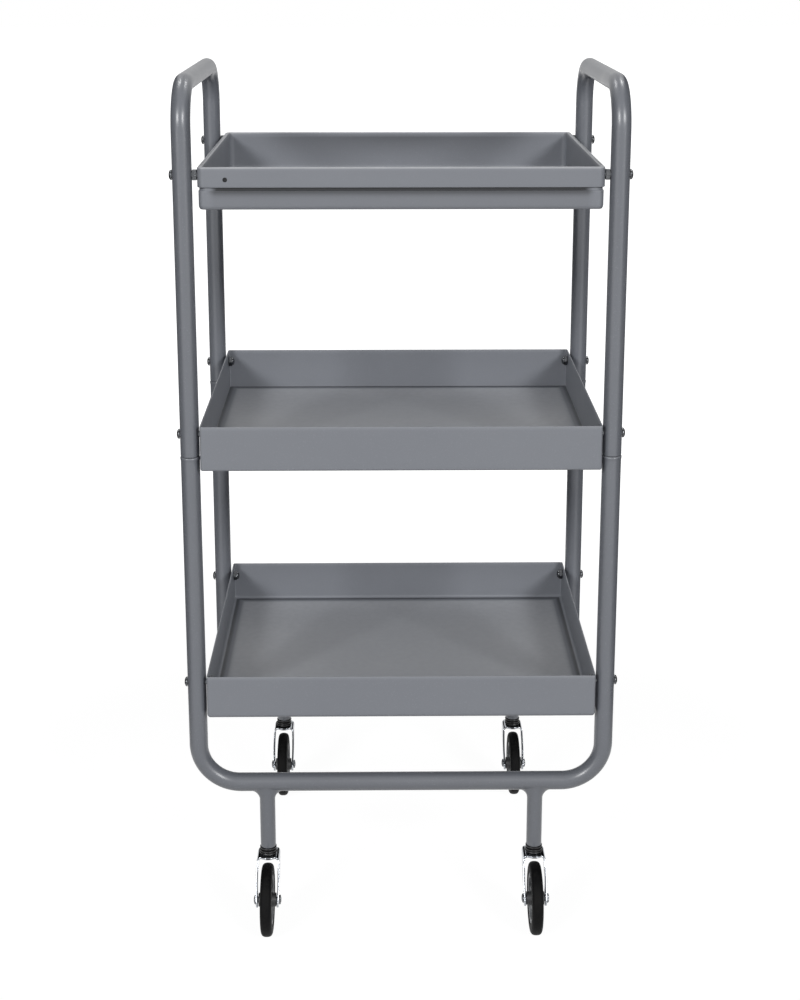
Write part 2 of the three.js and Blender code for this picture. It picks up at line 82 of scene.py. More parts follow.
# %% [markdown]
# ## Shader maths as Python sums
#
# A finish is a network of small nodes: noise, ramps, sums. Wiring each one by hand hides the idea,
# so one class wraps a socket and lets Python's own operators add the Math nodes. Every other node
# comes from a single method that takes the node's type, its settings and what goes into its
# sockets. The settings come first, because a Mix node, for example, only has colour sockets once it
# is told that it mixes colours.

# %% The wire class
class Wire:
    """A shader socket that takes part in sums. With no socket it is just the way into a node tree."""

    def __init__(self, tree, socket=None):
        self.tree = tree
        self.socket = socket

    def node(self, kind, settings=None, inputs=None, output=0):
        """Adds any node: its settings first, then a value or a link for each named input."""
        made = self.tree.nodes.new(kind)
        for name, value in (settings or {}).items():
            setattr(made, name, value)
        for name, value in (inputs or {}).items():
            if isinstance(value, Wire):
                self.tree.links.new(value.socket, made.inputs[name])
            else:
                made.inputs[name].default_value = value
        return Wire(self.tree, made.outputs[output] if len(made.outputs) else None)

    def sum(self, operation, first, second):
        """One Math node."""
        return self.node("ShaderNodeMath", {"operation": operation}, {0: first, 1: second})

    def __add__(self, other):
        return self.sum("ADD", self, other)

    def __radd__(self, other):
        return self.sum("ADD", other, self)

    def __sub__(self, other):
        return self.sum("SUBTRACT", self, other)

    def __rsub__(self, other):
        return self.sum("SUBTRACT", other, self)

    def __mul__(self, other):
        return self.sum("MULTIPLY", self, other)

    def __rmul__(self, other):
        return self.sum("MULTIPLY", other, self)


print("a wire takes part in +, - and * from either side")

# %% Colours and nodes
def tone(red, green, blue):
    """A colour as read off a screen, 0 to 255, in the linear values that a shader takes."""
    share = np.array([red, green, blue]) / 255
    linear = np.where(share <= 0.04045, share / 12.92, ((share + 0.055) / 1.055) ** 2.4)
    return (*linear.tolist(), 1.0)


def noise(place, scale, detail=2.0):
    """A cloudy value from 0 to 1, with scale features to the metre."""
    inputs = {"Vector": place, "Scale": scale, "Detail": detail}
    return place.node("ShaderNodeTexNoise", None, inputs, "Fac")


def between(value, low, high):
    """0 below low, 1 above high and a smooth step in between."""
    limits = {"Value": value, "From Min": low, "From Max": high}
    return value.node("ShaderNodeMapRange", {"interpolation_type": "SMOOTHSTEP"}, limits)


def blend(factor, first, second):
    """The first colour where factor is 0 and the second where it is 1."""
    return factor.node("ShaderNodeMix", {"data_type": "RGBA"}, {0: factor, 6: first, 7: second}, 2)


def relief(height, depth):
    """A bumpy normal, with the height's 0 to 1 standing for depth metres."""
    return height.node("ShaderNodeBump", None, {"Height": height, "Distance": depth}, "Normal")


def edge_value(wire):
    """The "edge" attribute of whatever mesh wears the finish."""
    return wire.node("ShaderNodeAttribute", {"attribute_name": "edge"}, output="Fac")


def new_finish(name):
    """An empty material: returns it with the way into its tree and its Object coordinates."""
    material = bpy.data.materials.new(name)
    material.use_nodes = True
    material.node_tree.nodes.clear()
    wire = Wire(material.node_tree)
    place = wire.node("ShaderNodeTexCoord", output="Object")
    return material, wire, place


def close_finish(wire, sockets):
    """Ends a tree: one Principled shader with these sockets, joined to the material's output."""
    shader = wire.node("ShaderNodeBsdfPrincipled", None, sockets)
    wire.node("ShaderNodeOutputMaterial", None, {"Surface": shader})


FINISHES = {}
print("the helpers for colours and nodes are ready")

# %% [markdown]
# ## Grey powder coat
#
# The tubes and trays are sprayed with a blue-grey powder and baked, in two batches: the tubes came
# out a little darker and glossier than the trays. Close up, such a coat is satin, not flat. It has
# the faint dimples called orange peel, slightly cloudy gloss, and a thinner, paler film along sharp
# edges. A plain grey would look like plastic. So the colour drifts a little between two greys, the
# gloss drifts on a scale of its own, and two noises make the dimples.
#
# Wear, and the painted light and shade, have to follow the shape, which noise alone can't do. Each
# mesh carries an "edge" attribute for that. Above 0 the coat turns pale: a thin film on edges that
# also carries a painted highlight, and painted light on the tray floors. Below 0 it turns dark:
# painted shade, as in a fold or a groove.

# %% Grey paint
FLECK = tone(142, 145, 151)
# pale edge film, so pale that it also paints highlights and light
PALE_FILM_AND_LIGHT = tone(196, 198, 202)
# near black, for painted shade
PAINTED_SHADE = tone(22, 23, 25)
PEEL_DEPTH = 0.06 * MM


def grey_paint(name, dark, pale, roughness, shine):
    """Powder coat of two greys: pale film and painted light above edge 0, painted shade below it."""
    material, wire, place = new_finish(name)
    edge = edge_value(wire)
    cloud = noise(place, 5.0, 3.0)
    speck = noise(place, 900.0, 1.0)
    handled = between(noise(place, 16.0, 4.0), 0.5, 0.72)
    coat = blend(cloud, dark, pale)
    flecked = blend(between(speck, 0.62, 0.75) * 0.35, coat, FLECK)
    # pale share: thin film on edges with a painted highlight, and painted light on tray floors
    pale_film_and_light = between(edge, 0.0, 1.0) * (0.6 + 0.4 * noise(place, 140.0, 3.0))
    # dark share: painted shade
    painted_shade = between(edge * -1.0, 0.0, 1.0)
    worn_and_lit = blend(pale_film_and_light * 0.8, flecked, PALE_FILM_AND_LIGHT)
    satin = roughness + 0.06 * cloud + 0.04 * speck - 0.05 * handled - 0.08 * pale_film_and_light
    dimples = noise(place, 330.0, 2.0) * 0.7 + speck * 0.3
    close_finish(wire, {
        "Base Color": blend(painted_shade * 0.95, worn_and_lit, PAINTED_SHADE),
        "Roughness": satin,
        "Specular IOR Level": shine,
        "Normal": relief(dimples, PEEL_DEPTH),
    })
    return material


FINISHES["grey_paint"] = grey_paint(
    "tray_powder_coat", tone(119, 122, 129), tone(129, 132, 138), roughness=0.4, shine=0.5
)
FINISHES["frame_paint"] = grey_paint(
    "frame_powder_coat", tone(104, 107, 114), tone(112, 115, 121), roughness=0.28, shine=0.65
)
print("grey powder coat:", len(FINISHES["grey_paint"].node_tree.nodes), "nodes")

# %% [markdown]
# ## Zinc and chrome
#
# The fasteners are zinc plated and have gone dull and dark in their corners; the caster forks are
# chrome plated strip. Both are metals, so the Metallic socket is 1 and the base colour tints the
# reflections. What tells them apart is the gloss: zinc has a patchy crystalline film, and chrome is
# nearly a mirror with faint rolling marks along the strip. Stretching one axis of the coordinates
# before the noise makes those marks.

# %% Zinc plate and chrome plate
CRYSTAL_DEPTH = 0.03 * MM
ROLLING_DEPTH = 0.012 * MM
ROLLING_STRETCH = (900.0, 900.0, 40.0)


def zinc_plate():
    """A dull metal film with small crystals in it."""
    material, wire, place = new_finish("zinc_plate")
    cells = {"Vector": place, "Scale": 900.0}
    crystals = wire.node("ShaderNodeTexVoronoi", None, cells, "Distance")
    patch = noise(place, 260.0, 3.0)
    film = blend(patch, tone(56, 58, 61), tone(104, 106, 109))
    close_finish(wire, {
        "Base Color": blend(between(crystals, 0.2, 0.7) * 0.35, film, tone(140, 142, 145)),
        "Metallic": 1.0,
        "Roughness": 0.17 + 0.1 * patch + 0.05 * crystals,
        "Normal": relief(crystals * 0.5 + patch * 0.5, CRYSTAL_DEPTH),
    })
    return material


def chrome_plate():
    """Nearly a mirror, with fine marks along the strip and a little haze."""
    material, wire, place = new_finish("chrome_plate")
    stretched = wire.node("ShaderNodeMapping", None, {"Vector": place, "Scale": ROLLING_STRETCH})
    rolling = noise(stretched, 1.0)
    haze = between(noise(place, 90.0, 3.0), 0.45, 0.75)
    close_finish(wire, {
        "Base Color": blend(haze, tone(176, 179, 184), tone(158, 162, 168)),
        "Metallic": 1.0,
        "Roughness": 0.07 + 0.05 * rolling + 0.1 * haze,
        "Normal": relief(rolling, ROLLING_DEPTH),
    })
    return material


FINISHES["zinc"] = zinc_plate()
FINISHES["chrome"] = chrome_plate()
print("metal finishes:", FINISHES["zinc"].name, "and", FINISHES["chrome"].name)

# %% [markdown]
# ## Moulded plastic and rubber
#
# The collar under each stem is black nylon, the wheel centres are grey nylon, and the tyres are
# black rubber. Moulded parts keep the fine spark-eroded grain of their mould and shine a little on
# top of it. Rubber is duller, and the tread that rolls on the floor picks up pale dust. Both
# finishes read the "edge" attribute in their own way: on a wheel centre it darkens the boss round
# the axle, and on a tyre it marks the tread.

# %% Plastics and rubber
DARK_BOSS_TONE = tone(26, 26, 28)
TYRE_BLACK = tone(9, 9, 10)
FLOOR_DUST_TONE = tone(50, 49, 48)
TYRE_SHINE = 0.1
MOULD_GRAIN = 0.02 * MM
RUBBER_GRAIN = 0.05 * MM


def moulded_plastic(name, dark, pale, roughness):
    """Nylon between two tones with a mould's grain, darker where the edge value is 1."""
    material, wire, place = new_finish(name)
    grain = noise(place, 1400.0, 2.0)
    rubbed = between(noise(place, 70.0, 4.0), 0.45, 0.75)
    dark_boss = edge_value(wire)
    close_finish(wire, {
        "Base Color": blend(dark_boss * 0.9, blend(rubbed, dark, pale), DARK_BOSS_TONE),
        "Roughness": roughness + 0.12 * grain - 0.08 * rubbed,
        "Normal": relief(grain, MOULD_GRAIN),
    })
    return material


def tyre_rubber():
    """Dull rubber, dusty where the edge value marks the tread."""
    material, wire, place = new_finish("tyre_rubber")
    tread = edge_value(wire)
    grain = noise(place, 800.0, 3.0)
    dust_and_light = tread * between(noise(place, 160.0, 4.0), 0.4, 0.8)
    close_finish(wire, {
        "Base Color": blend(dust_and_light * 0.25, TYRE_BLACK, FLOOR_DUST_TONE),
        "Roughness": 0.52 + 0.18 * grain + 0.2 * dust_and_light,
        "Specular IOR Level": TYRE_SHINE,
        "Normal": relief(grain, RUBBER_GRAIN),
    })
    return material


FINISHES["black_plastic"] = moulded_plastic("black_nylon", tone(20, 20, 22), tone(38, 38, 40), 0.3)
FINISHES["grey_plastic"] = moulded_plastic(
    "grey_nylon", tone(122, 124, 126), tone(140, 142, 144), 0.42
)
FINISHES["rubber"] = tyre_rubber()
print("finishes so far:", sorted(FINISHES))

# %% [markdown]
# ## From a grid of points to a piece
#
# Every new piece is one or more grids of points. A grid has rows and columns; four neighbouring
# points make a face. The columns always run round the piece and close on themselves. The rows
# either close too, as in a hollow tube whose outside turns in at one end, runs back along the bore
# and comes out at the other, or they shrink to a point at both ends. Points that fall together
# there are merged, so that no seam or pole stays open.
#
# The same helper rides the piece on its body, hides the CAD node that it stands for, gives it its
# finish and stores the "edge" attribute that the finishes read.

# %% The piece maker
MERGE = 0.002 * MM
SHARP = np.radians(38)


def grid_faces(rows, columns, closed):
    """Corner numbers of the faces between neighbouring rows and columns.

    Closed rows join the last one to the first.
    """
    index = np.arange(rows * columns).reshape(rows, columns)
    index = np.hstack([index, index[:, :1]])
    if closed:
        index = np.vstack([index, index[:1]])
    corners = [index[:-1, :-1], index[:-1, 1:], index[1:, 1:], index[1:, :-1]]
    return np.stack(corners, -1).reshape(-1, 4)


def make_piece(node, grids, slot, finish=None):
    """Turns grids of (points, closed, edge) into one smooth object that stands for a CAD node."""
    points = np.vstack([grid.reshape(-1, 3) for grid, _, _ in grids])
    shapes = [grid.shape[:2] for grid, _, _ in grids]
    edges = np.concatenate([
        np.broadcast_to(edge, shape).ravel() for (_, _, edge), shape in zip(grids, shapes)
    ])
    starts = np.cumsum([0] + [rows * columns for rows, columns in shapes])
    faces = np.vstack([
        grid_faces(*shape, closed) + start
        for (_, closed, _), shape, start in zip(grids, shapes, starts)
    ])
    mesh = bpy.data.meshes.new(f"{node}_fine")
    mesh.from_pydata(points.tolist(), [], faces.tolist())
    edge_data = mesh.attributes.new("edge", "FLOAT", "POINT").data
    edge_data.foreach_set("value", edges.astype(np.float32))
    shape = bmesh.new()
    shape.from_mesh(mesh)
    bmesh.ops.remove_doubles(shape, verts=shape.verts, dist=MERGE)
    bmesh.ops.recalc_face_normals(shape, faces=shape.faces)
    shape.to_mesh(mesh)
    shape.free()
    return dress(bpy.data.objects.new(f"{node}_fine", mesh), node, slot, finish)


def dress(piece, node, slot, finish=None):
    """Shades a piece smooth, gives it a finish, and ties it to its CAD node and body.

    The finish is the slot's own, unless another one is named.
    """
    piece.data.shade_smooth()
    piece.data.set_sharp_from_angle(angle=SHARP)
    piece.data.materials.clear()
    piece.data.materials.append(FINISHES[finish or slot])
    if piece.name not in bpy.context.scene.collection.objects:
        bpy.context.scene.collection.objects.link(piece)
    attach(piece, frame["nodes"][node]["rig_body"])
    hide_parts(node)
    return piece


print("faces of a grid of 3 by 4 points, rows open:", len(grid_faces(3, 4, False)))

# %% Lines and arcs of a profile
def line(start, end, steps):
    """Evenly spaced points of a profile from start to end."""
    return np.linspace(start, end, steps + 1)


def arc(middle, radius, first, last, steps):
    """Points of an arc in a profile: middle + radius × (cos, sin), with the angles in degrees."""
    angle = np.radians(np.linspace(first, last, steps + 1))
    return np.array(middle) + radius * np.column_stack([np.cos(angle), np.sin(angle)])


print("a quarter circle in 3 steps:", np.round(arc([0, 0], 1, 0, 90, 3), 2).tolist())

# %% [markdown]
# ## Bent tubes
#
# The frames are bent from straight 19 mm tube, so each is a U: a flat middle, two quarter bends and
# two legs. A curve object with a round bevel could draw that, but it would be solid. Here a profile
# is carried along the path instead. It runs out along the outside of one leg, over a rounded lip,
# and back along the bore, which gives a real wall.
#
# One number places a point on the path: its distance from the middle of the U. A tube bender also
# flattens the section a little in the middle of each bend, and so does the formula.

# %% The bent tube
TUBE_COLUMNS = 48
BEND_R = 43 * MM
BEND_FLATTENING = 0.045


def u_path(distance, flat, bend_r):
    """Follows a U from its middle: sideways reach, drop below the middle, and turn of the path.

    The turn is (distance - flat) / bend_r, held between nothing and a quarter circle. The reach is
    the flat part plus bend_r × sin(turn). The drop is bend_r × (1 - cos(turn)) plus whatever is
    left over, straight down.
    """
    away = np.abs(distance)
    turn = np.clip((away - flat) / bend_r, 0, np.pi / 2)
    reach = np.sign(distance) * (np.minimum(away, flat) + bend_r * np.sin(turn))
    drop = bend_r * (1 - np.cos(turn)) + np.maximum(away - flat - bend_r * np.pi / 2, 0)
    return reach, drop, np.sign(distance) * turn


def mirrored(profile):
    """A profile from the middle of a U to one end and back in the bore, closed by its other half."""
    other_half = profile[-2:0:-1] * [-1, 1]
    return np.vstack([profile, other_half])


def bent_tube(profile, flat, apex, across, rise, beside):
    """A tube's surface from rows of (distance along the U, radius).

    A point is apex + reach × across - drop × rise, plus radius × cos(v) along the outward direction
    of the bend, which leans from rise towards across as the path turns, plus radius × sin(v) ×
    beside.
    """
    distance, radius = mirrored(profile).T
    reach, drop, turn = u_path(distance, flat, BEND_R)
    v = np.arange(TUBE_COLUMNS) * 2 * np.pi / TUBE_COLUMNS
    outward = np.sin(turn)[:, None] * across + np.cos(turn)[:, None] * rise
    flattened = radius * (1 - BEND_FLATTENING * np.sin(2 * np.abs(turn)))
    middle = apex + reach[:, None] * across - drop[:, None] * rise
    bulge = (flattened[:, None] * np.cos(v))[:, :, None] * outward[:, None, :]
    width = (radius[:, None] * np.sin(v))[:, :, None] * beside
    return middle[:, None, :] + bulge + width


def run_of_tube(flat, end, radius):
    """The rows of a tube's outside, from the middle of the U to a distance near its end."""
    bend = BEND_R * np.pi / 2
    return np.vstack([
        line([0, radius], [flat, radius], 24),
        line([flat, radius], [flat + bend, radius], 28),
        line([flat + bend, radius], [end, radius], 36),
    ])


X, Y, Z = np.eye(3)
print("a bend of", BEND_R / MM, "mm uses", round(BEND_R * np.pi / 2 / MM, 1), "mm of tube")

# %% [markdown]
# ## Lower frames with welded stems
#
# The front and rear U stand upright, with the caster stems welded under the bar. The photograph
# shows a soft flare where each stem meets the bar: a fillet weld under the paint. A boolean join
# would leave a hard line there. Instead the stem is its own closed surface whose top follows the
# round bar like a saddle, flares out along a quarter ellipse and ends just under the bar's skin.
# Faint ripples round the flare are the weld's own beads.
#
# The bar and the stems, nearest to the floor, are painted darker: a painted shade that fades up the
# posts.

# %% Welded stems
STEM_R = 8 * MM
STEM_WALL = 1.5 * MM
WELD_FLARE_ALONG = 10 * MM
WELD_FLARE_ACROSS = 1.0 * MM
WELD_HEIGHT = 10 * MM
WELD_RIPPLE = 0.16 * MM
WELD_BEADS = 22
WELD_SINK = 0.12 * MM
WELD_ROWS = 13
RIPPLE_ACROSS = 0.5
STEM_COLUMNS = 88
STEM_PLUGGED = 0.4


def welded_stem(middle, foot_z, bar_z, bar_r):
    """A stem and its weld: rows of (x radius, y radius, height) that follow the bar above.

    The bar's underside over a point y off its axis is bar_z - sqrt(bar_r² - y²). The weld's row at
    angle a has grown outwards by flare × (1 - cos a) and lies height × (1 - sin a) below that
    underside. The stem's bore is closed a share of its length up, where the plug ends.
    """
    v = np.arange(STEM_COLUMNS) * 2 * np.pi / STEM_COLUMNS
    angle = np.linspace(np.pi / 2, 0, WELD_ROWS)[:, None]
    bead = WELD_RIPPLE * np.sin(2 * angle) * np.cos(WELD_BEADS * v)
    weld_x = (STEM_R + WELD_FLARE_ALONG * (1 - np.cos(angle)) + bead) * np.cos(v)
    flare_y = WELD_FLARE_ACROSS * (1 - np.cos(angle)) + bead * RIPPLE_ACROSS
    weld_y = (STEM_R + flare_y) * np.sin(v)
    underside = bar_z - np.sqrt(bar_r**2 - weld_y**2)
    weld_z = underside - WELD_HEIGHT * (1 - np.sin(angle)) + WELD_SINK * np.sin(angle)
    profile = np.vstack([
        line([STEM_R, 1], [STEM_R, 0], 14)[1:],
        arc([STEM_R - STEM_WALL / 2, 0], STEM_WALL / 2, 0, -180, 8),
        line([STEM_R - STEM_WALL, 0], [STEM_R - STEM_WALL, STEM_PLUGGED], 1),
        [[0, STEM_PLUGGED]],
    ])
    lip_z = foot_z + STEM_WALL / 2
    share = np.maximum(profile[:, 1:], 0) * np.ones_like(v)
    below = np.minimum(profile[:, 1:], 0)
    tube_z = lip_z + share * (weld_z[-1] - lip_z) + below
    x = np.vstack([np.zeros((1, STEM_COLUMNS)), weld_x, profile[:, :1] * np.cos(v)])
    y = np.vstack([np.zeros((1, STEM_COLUMNS)), weld_y, profile[:, :1] * np.sin(v)])
    z = np.vstack([np.full((1, STEM_COLUMNS), bar_z), weld_z, tube_z])
    return np.stack([middle[0] + x, middle[1] + y, z], -1)


print("a weld has", WELD_BEADS, "beads round its stem")

# %% Lower frames
TUBE_WALL = 1.2 * MM
LIP_R = 1.2 * MM
MOUTH = 5 * MM
MOUTH_FLARE = 0.45 * MM
SEAM_WEAR_AND_HIGHLIGHT = 0.3
SEAM_REACH = 1.2 * MM
STEM_LENGTH = 73 * MM
BAR_SHADE = 0.23
BAR_SHADE_REACH = 60 * MM


def lower_frame(end):
    """One U tube open at the top, and its two stems.

    Its paint is paler, a thin film with a painted highlight, by exp(-(distance from the mouth /
    reach)²), and carries painted shade by exp(-(height above the bar / reach)²).
    """
    low, high = measure(f"{end}_lower_frame")
    radius = (high[1] - low[1]) / 2
    middle_y = (high[1] + low[1]) / 2
    bar_z = low[2] + STEM_LENGTH
    flat = high[0] - radius - BEND_R
    length = flat + BEND_R * np.pi / 2 + high[2] - bar_z - BEND_R
    share = np.linspace(0, 1, 7)[1:]
    mouth_at = length - MOUTH + share * (MOUTH - LIP_R)
    profile = np.vstack([
        run_of_tube(flat, length - MOUTH, radius),
        np.column_stack([mouth_at, radius + MOUTH_FLARE * share**2 * (3 - 2 * share)]),
        arc([length - LIP_R, radius + MOUTH_FLARE - LIP_R], LIP_R, 90, 0, 8),
        line([length, radius - TUBE_WALL], [0, radius - TUBE_WALL], 60),
    ])
    tube = bent_tube(profile, flat, np.array([0, middle_y, bar_z]), X, -Z, Y)
    from_mouth = np.abs(mirrored(profile)[:, :1]) - length
    above_bar = np.maximum(tube[:, :, 2] - bar_z, 0)
    # pale seam lip: thin film with a painted highlight
    worn_and_lit = SEAM_WEAR_AND_HIGHLIGHT * np.exp(-((from_mouth / SEAM_REACH) ** 2))
    painted_shade = BAR_SHADE * np.exp(-((above_bar / BAR_SHADE_REACH) ** 2))
    grids = [(tube, True, worn_and_lit - painted_shade)]
    for side in ("left", "right"):
        stem_x = measure(f"kingpin_{end}_{side}").mean(0)[0]
        stem = welded_stem([stem_x, middle_y], low[2], bar_z, radius)
        # the stems carry the same painted shade all over
        grids.append((stem, False, -BAR_SHADE))
    return make_piece(f"{end}_lower_frame", grids, "grey_paint", "frame_paint")


for end in ("front", "rear"):
    piece = lower_frame(end)
    print(piece.name, len(piece.data.polygons), "faces")

# %% [markdown]
# ## Handle frames
#
# Left and right, an upside-down U forms the upper posts and the push handle. Its ends are drawn in
# to a smaller diameter and pushed into the lower posts. What shows of that joint is a fine groove
# between two rounded shoulders, about half way up. The same tube formula makes it: the profile's
# radius steps down at the shoulder and runs on.

# %% Handle frames
PLUG_END_LENGTH = 45 * MM
SEAM_GAP = 0.3 * MM
PLUG_R = 7.7 * MM


def handle_frame(side):
    """One upside-down U tube with drawn-in ends."""
    low, high = measure(f"{side}_handle_frame")
    radius = (high[0] - low[0]) / 2
    apex = np.array([(low[0] + high[0]) / 2, (low[1] + high[1]) / 2, high[2] - radius])
    flat = (high[1] - low[1]) / 2 - radius - BEND_R
    length = flat + BEND_R * np.pi / 2 + apex[2] - low[2] - BEND_R
    shoulder = length - PLUG_END_LENGTH - SEAM_GAP
    bore = PLUG_R - TUBE_WALL
    profile = np.vstack([
        run_of_tube(flat, shoulder - LIP_R, radius),
        arc([shoulder - LIP_R, radius - LIP_R], LIP_R, 90, 0, 6),
        line([shoulder, PLUG_R], [length - TUBE_WALL / 2, PLUG_R], 6),
        arc([length - TUBE_WALL / 2, PLUG_R - TUBE_WALL / 2], TUBE_WALL / 2, 90, -90, 6),
        line([length - TUBE_WALL / 2, bore], [shoulder - radius, bore], 6),
        line([shoulder - 2 * radius, radius - TUBE_WALL], [0, radius - TUBE_WALL], 60),
    ])
    tube = bent_tube(profile, flat, apex, Y, Z, X)
    return make_piece(f"{side}_handle_frame", [(tube, True, 0.0)], "grey_paint", "frame_paint")


for side in ("left", "right"):
    piece = handle_frame(side)
    print(piece.name, len(piece.data.polygons), "faces")

# %% [markdown]
# ## Folded trays
#
# The middle and bottom trays are sheet steel, cut, folded up at four sides and welded at the
# corners. A cube with its top removed and a Solidify modifier would be close, but the light on a
# tray comes from its soft folds: about 2 mm along the floor of the middle tray and 4 mm on the
# bottom one, 2 mm at the upright corners, and a rim as thick as the sheet with its sharp edge taken
# off.
#
# So the tray is a section, from the middle of its underside up the wall, over the rim and down to
# the middle of its floor, carried round a rectangle with round corners. The "edge" attribute
# follows the same section: a rim paled by a thin film and a painted highlight, painted shade in
# the fold, and painted light over the floor that is strongest by the side and rear walls.

# %% Rings
FLOOR_SAG = 0.5 * MM
FLOOR_RINGS = 14
TRAY_STEPS = (6, 24)


def ring(corner_steps, edge_steps):
    """A round-cornered rectangle: places among its corner centres, and directions outwards.

    Returns two arrays of (x, y) pairs. A ring's points are place × (corner centre) + direction ×
    (corner radius). Along an edge the places follow (1 - cos(pi × share)) / 2, so they are closest
    together near the corners.
    """
    signs = np.array([[1, 1], [-1, 1], [-1, -1], [1, -1]])
    quarter = np.arange(4)[:, None] * np.pi / 2
    turn = quarter + np.linspace(0, np.pi / 2, corner_steps + 1)
    even = np.linspace(0, 1, edge_steps + 2)[None, 1:-1, None]
    share = (1 - np.cos(np.pi * even)) / 2
    at_corner = np.repeat(signs[:, None, :], corner_steps + 1, 1)
    at_edge = signs[:, None, :] * (1 - share) + np.roll(signs, -1, 0)[:, None, :] * share
    angle = np.hstack([turn, np.repeat(turn[:, -1:], edge_steps, 1)])
    place = np.hstack([at_corner, at_edge]).reshape(-1, 2)
    return place, np.column_stack([np.cos(angle.ravel()), np.sin(angle.ravel())])


def carried_round(section, half, corner_r, middle, steps):
    """A section of rows (inset from the outer wall, height), carried round a rectangle.

    Each row's ring has corner centres at half - inset - corner radius. Rows before the first and
    after the last shrink to the middle of the floor in even shares, and dip there by the sag ×
    (1 - share²).
    """
    place, outward = ring(*steps)
    inset, height = section.T
    centres = np.array(half) - inset[:, None] - corner_r[:, None]
    shares = np.linspace(0, 1, FLOOR_RINGS, endpoint=False)
    dip = FLOOR_SAG * (1 - shares**2)
    centres = np.vstack([
        shares[:, None] * centres[:1], centres, shares[::-1, None] * centres[-1:]
    ])
    radius = np.concatenate([shares * corner_r[0], corner_r, shares[::-1] * corner_r[-1]])
    height = np.concatenate([height[0] - dip, height, height[-1] - dip[::-1]])
    flat = place * centres[:, None, :] + outward * radius[:, None, None]
    upright = np.broadcast_to(height[:, None, None], (*flat.shape[:2], 1))
    return np.concatenate([flat + np.array(middle), upright], -1)


print("each ring of a tray has", len(ring(*TRAY_STEPS)[0]), "points")

# %% Rim film, painted shade and painted light
CREASE_UP = 1.2 * MM
CREASE_IN = 6 * MM
CREASE_SHADE = 0.68
FLOOR_PAINTED_LIGHT = 0.4
WALL_LIGHT_CURVE = 3


def rim_film_and_highlight(points, rim_z, reach):
    """Thin film and painted highlight near the rim, as exp(-(distance / reach)²)."""
    return np.exp(-(((points[:, :, 2] - rim_z) / reach) ** 2))


def crease_shade_and_floor_light(section, row):
    """Painted shade in a fold, and painted light on the floor beyond it.

    The painted shade is -exp(-(distance along the section from that row / reach)²), with a short
    reach up the wall and a longer one over the floor. The painted light grows over the floor as 1
    less that, and stays on the floor's rings.
    """
    steps = np.linalg.norm(np.diff(section, axis=0), axis=1)
    travel = np.concatenate([[0], np.cumsum(steps)])
    away = travel - travel[row]
    reach = np.where(away < 0, CREASE_UP, CREASE_IN)
    near = np.exp(-((away / reach) ** 2))
    on_section = -CREASE_SHADE * near + FLOOR_PAINTED_LIGHT * (1 - near) * (away > 0)
    return np.pad(on_section, FLOOR_RINGS, constant_values=(0, FLOOR_PAINTED_LIGHT))[:, None]


def light_by_walls(points):
    """Painted light on the tray floor by the side and rear walls.

    It is |x share|^c + (rear share)^c, up to 1, where a share counts from the tray's middle.
    """
    corner = points[:, :, :2].max((0, 1))
    middle = (corner + points[:, :, :2].min((0, 1))) / 2
    share = (points[:, :, :2] - middle) / (corner - middle)
    aside, behind = np.abs(share[:, :, 0]), np.clip(share[:, :, 1], 0, 1)
    return np.clip(aside**WALL_LIGHT_CURVE + behind**WALL_LIGHT_CURVE, 0, 1)


# the reach printed below is that of the painted shade in a fold
print("dirt in a fold reaches", CREASE_IN / MM, "mm over the floor")

# %% Middle and bottom tray
SHEET = 1.2 * MM
FOLD_R = {"middle": 2.2 * MM, "bottom": 4.4 * MM}
TRAY_CORNER_R = 2.4 * MM
SMALLEST_CORNER = 0.5 * MM
RIM_FILM_REACH = 0.9 * MM
RIM_WEAR_AND_HIGHLIGHT = 0.35
FLOOR_ROWS = 10
FLOOR_STRIP = 2.5 * CREASE_IN
WALL_SIDE_LIGHT = 0.5


def plain_tray(tier):
    """A tray with one straight wall all round."""
    low, high = measure(f"{tier}_tray")
    floor_z, rim_z = low[2] + FLOOR_SAG, high[2]
    floor_top = floor_z + SHEET
    fold_r = FOLD_R[tier]
    fold = [fold_r, floor_z + fold_r]
    section = np.vstack([
        arc(fold, fold_r, 270, 180, 8),
        line([0, floor_z + fold_r], [0, rim_z - SHEET / 2], 10),
        arc([SHEET / 2, rim_z - SHEET / 2], SHEET / 2, 180, 0, 6),
        line([SHEET, rim_z - SHEET / 2], [SHEET, floor_z + fold_r], 10),
        arc(fold, fold_r - SHEET, 180, 270, 8),
        line([fold_r, floor_top], [fold_r + FLOOR_STRIP, floor_top], FLOOR_ROWS)[1:],
    ])
    corner_r = np.maximum(TRAY_CORNER_R - section[:, 0], SMALLEST_CORNER)
    half = (high[:2] - low[:2]) / 2
    points = carried_round(section, half, corner_r, (low[:2] + high[:2]) / 2, TRAY_STEPS)
    # painted shade in the fold and painted light over the floor
    floor = crease_shade_and_floor_light(section, -1 - FLOOR_ROWS)
    # painted light, strongest by the side and rear walls
    dust_and_light = WALL_SIDE_LIGHT * light_by_walls(points) * np.clip(floor / FLOOR_PAINTED_LIGHT, 0, 1)
    # rim paled by thin film and painted highlight, plus the floor's painted light and shade
    edge = RIM_WEAR_AND_HIGHLIGHT * rim_film_and_highlight(points, rim_z, RIM_FILM_REACH) + floor + dust_and_light
    return make_piece(f"{tier}_tray", [(points, False, edge)], "grey_paint")


for tier in ("middle", "bottom"):
    piece = plain_tray(tier)
    print(piece.name, len(piece.data.polygons), "faces")

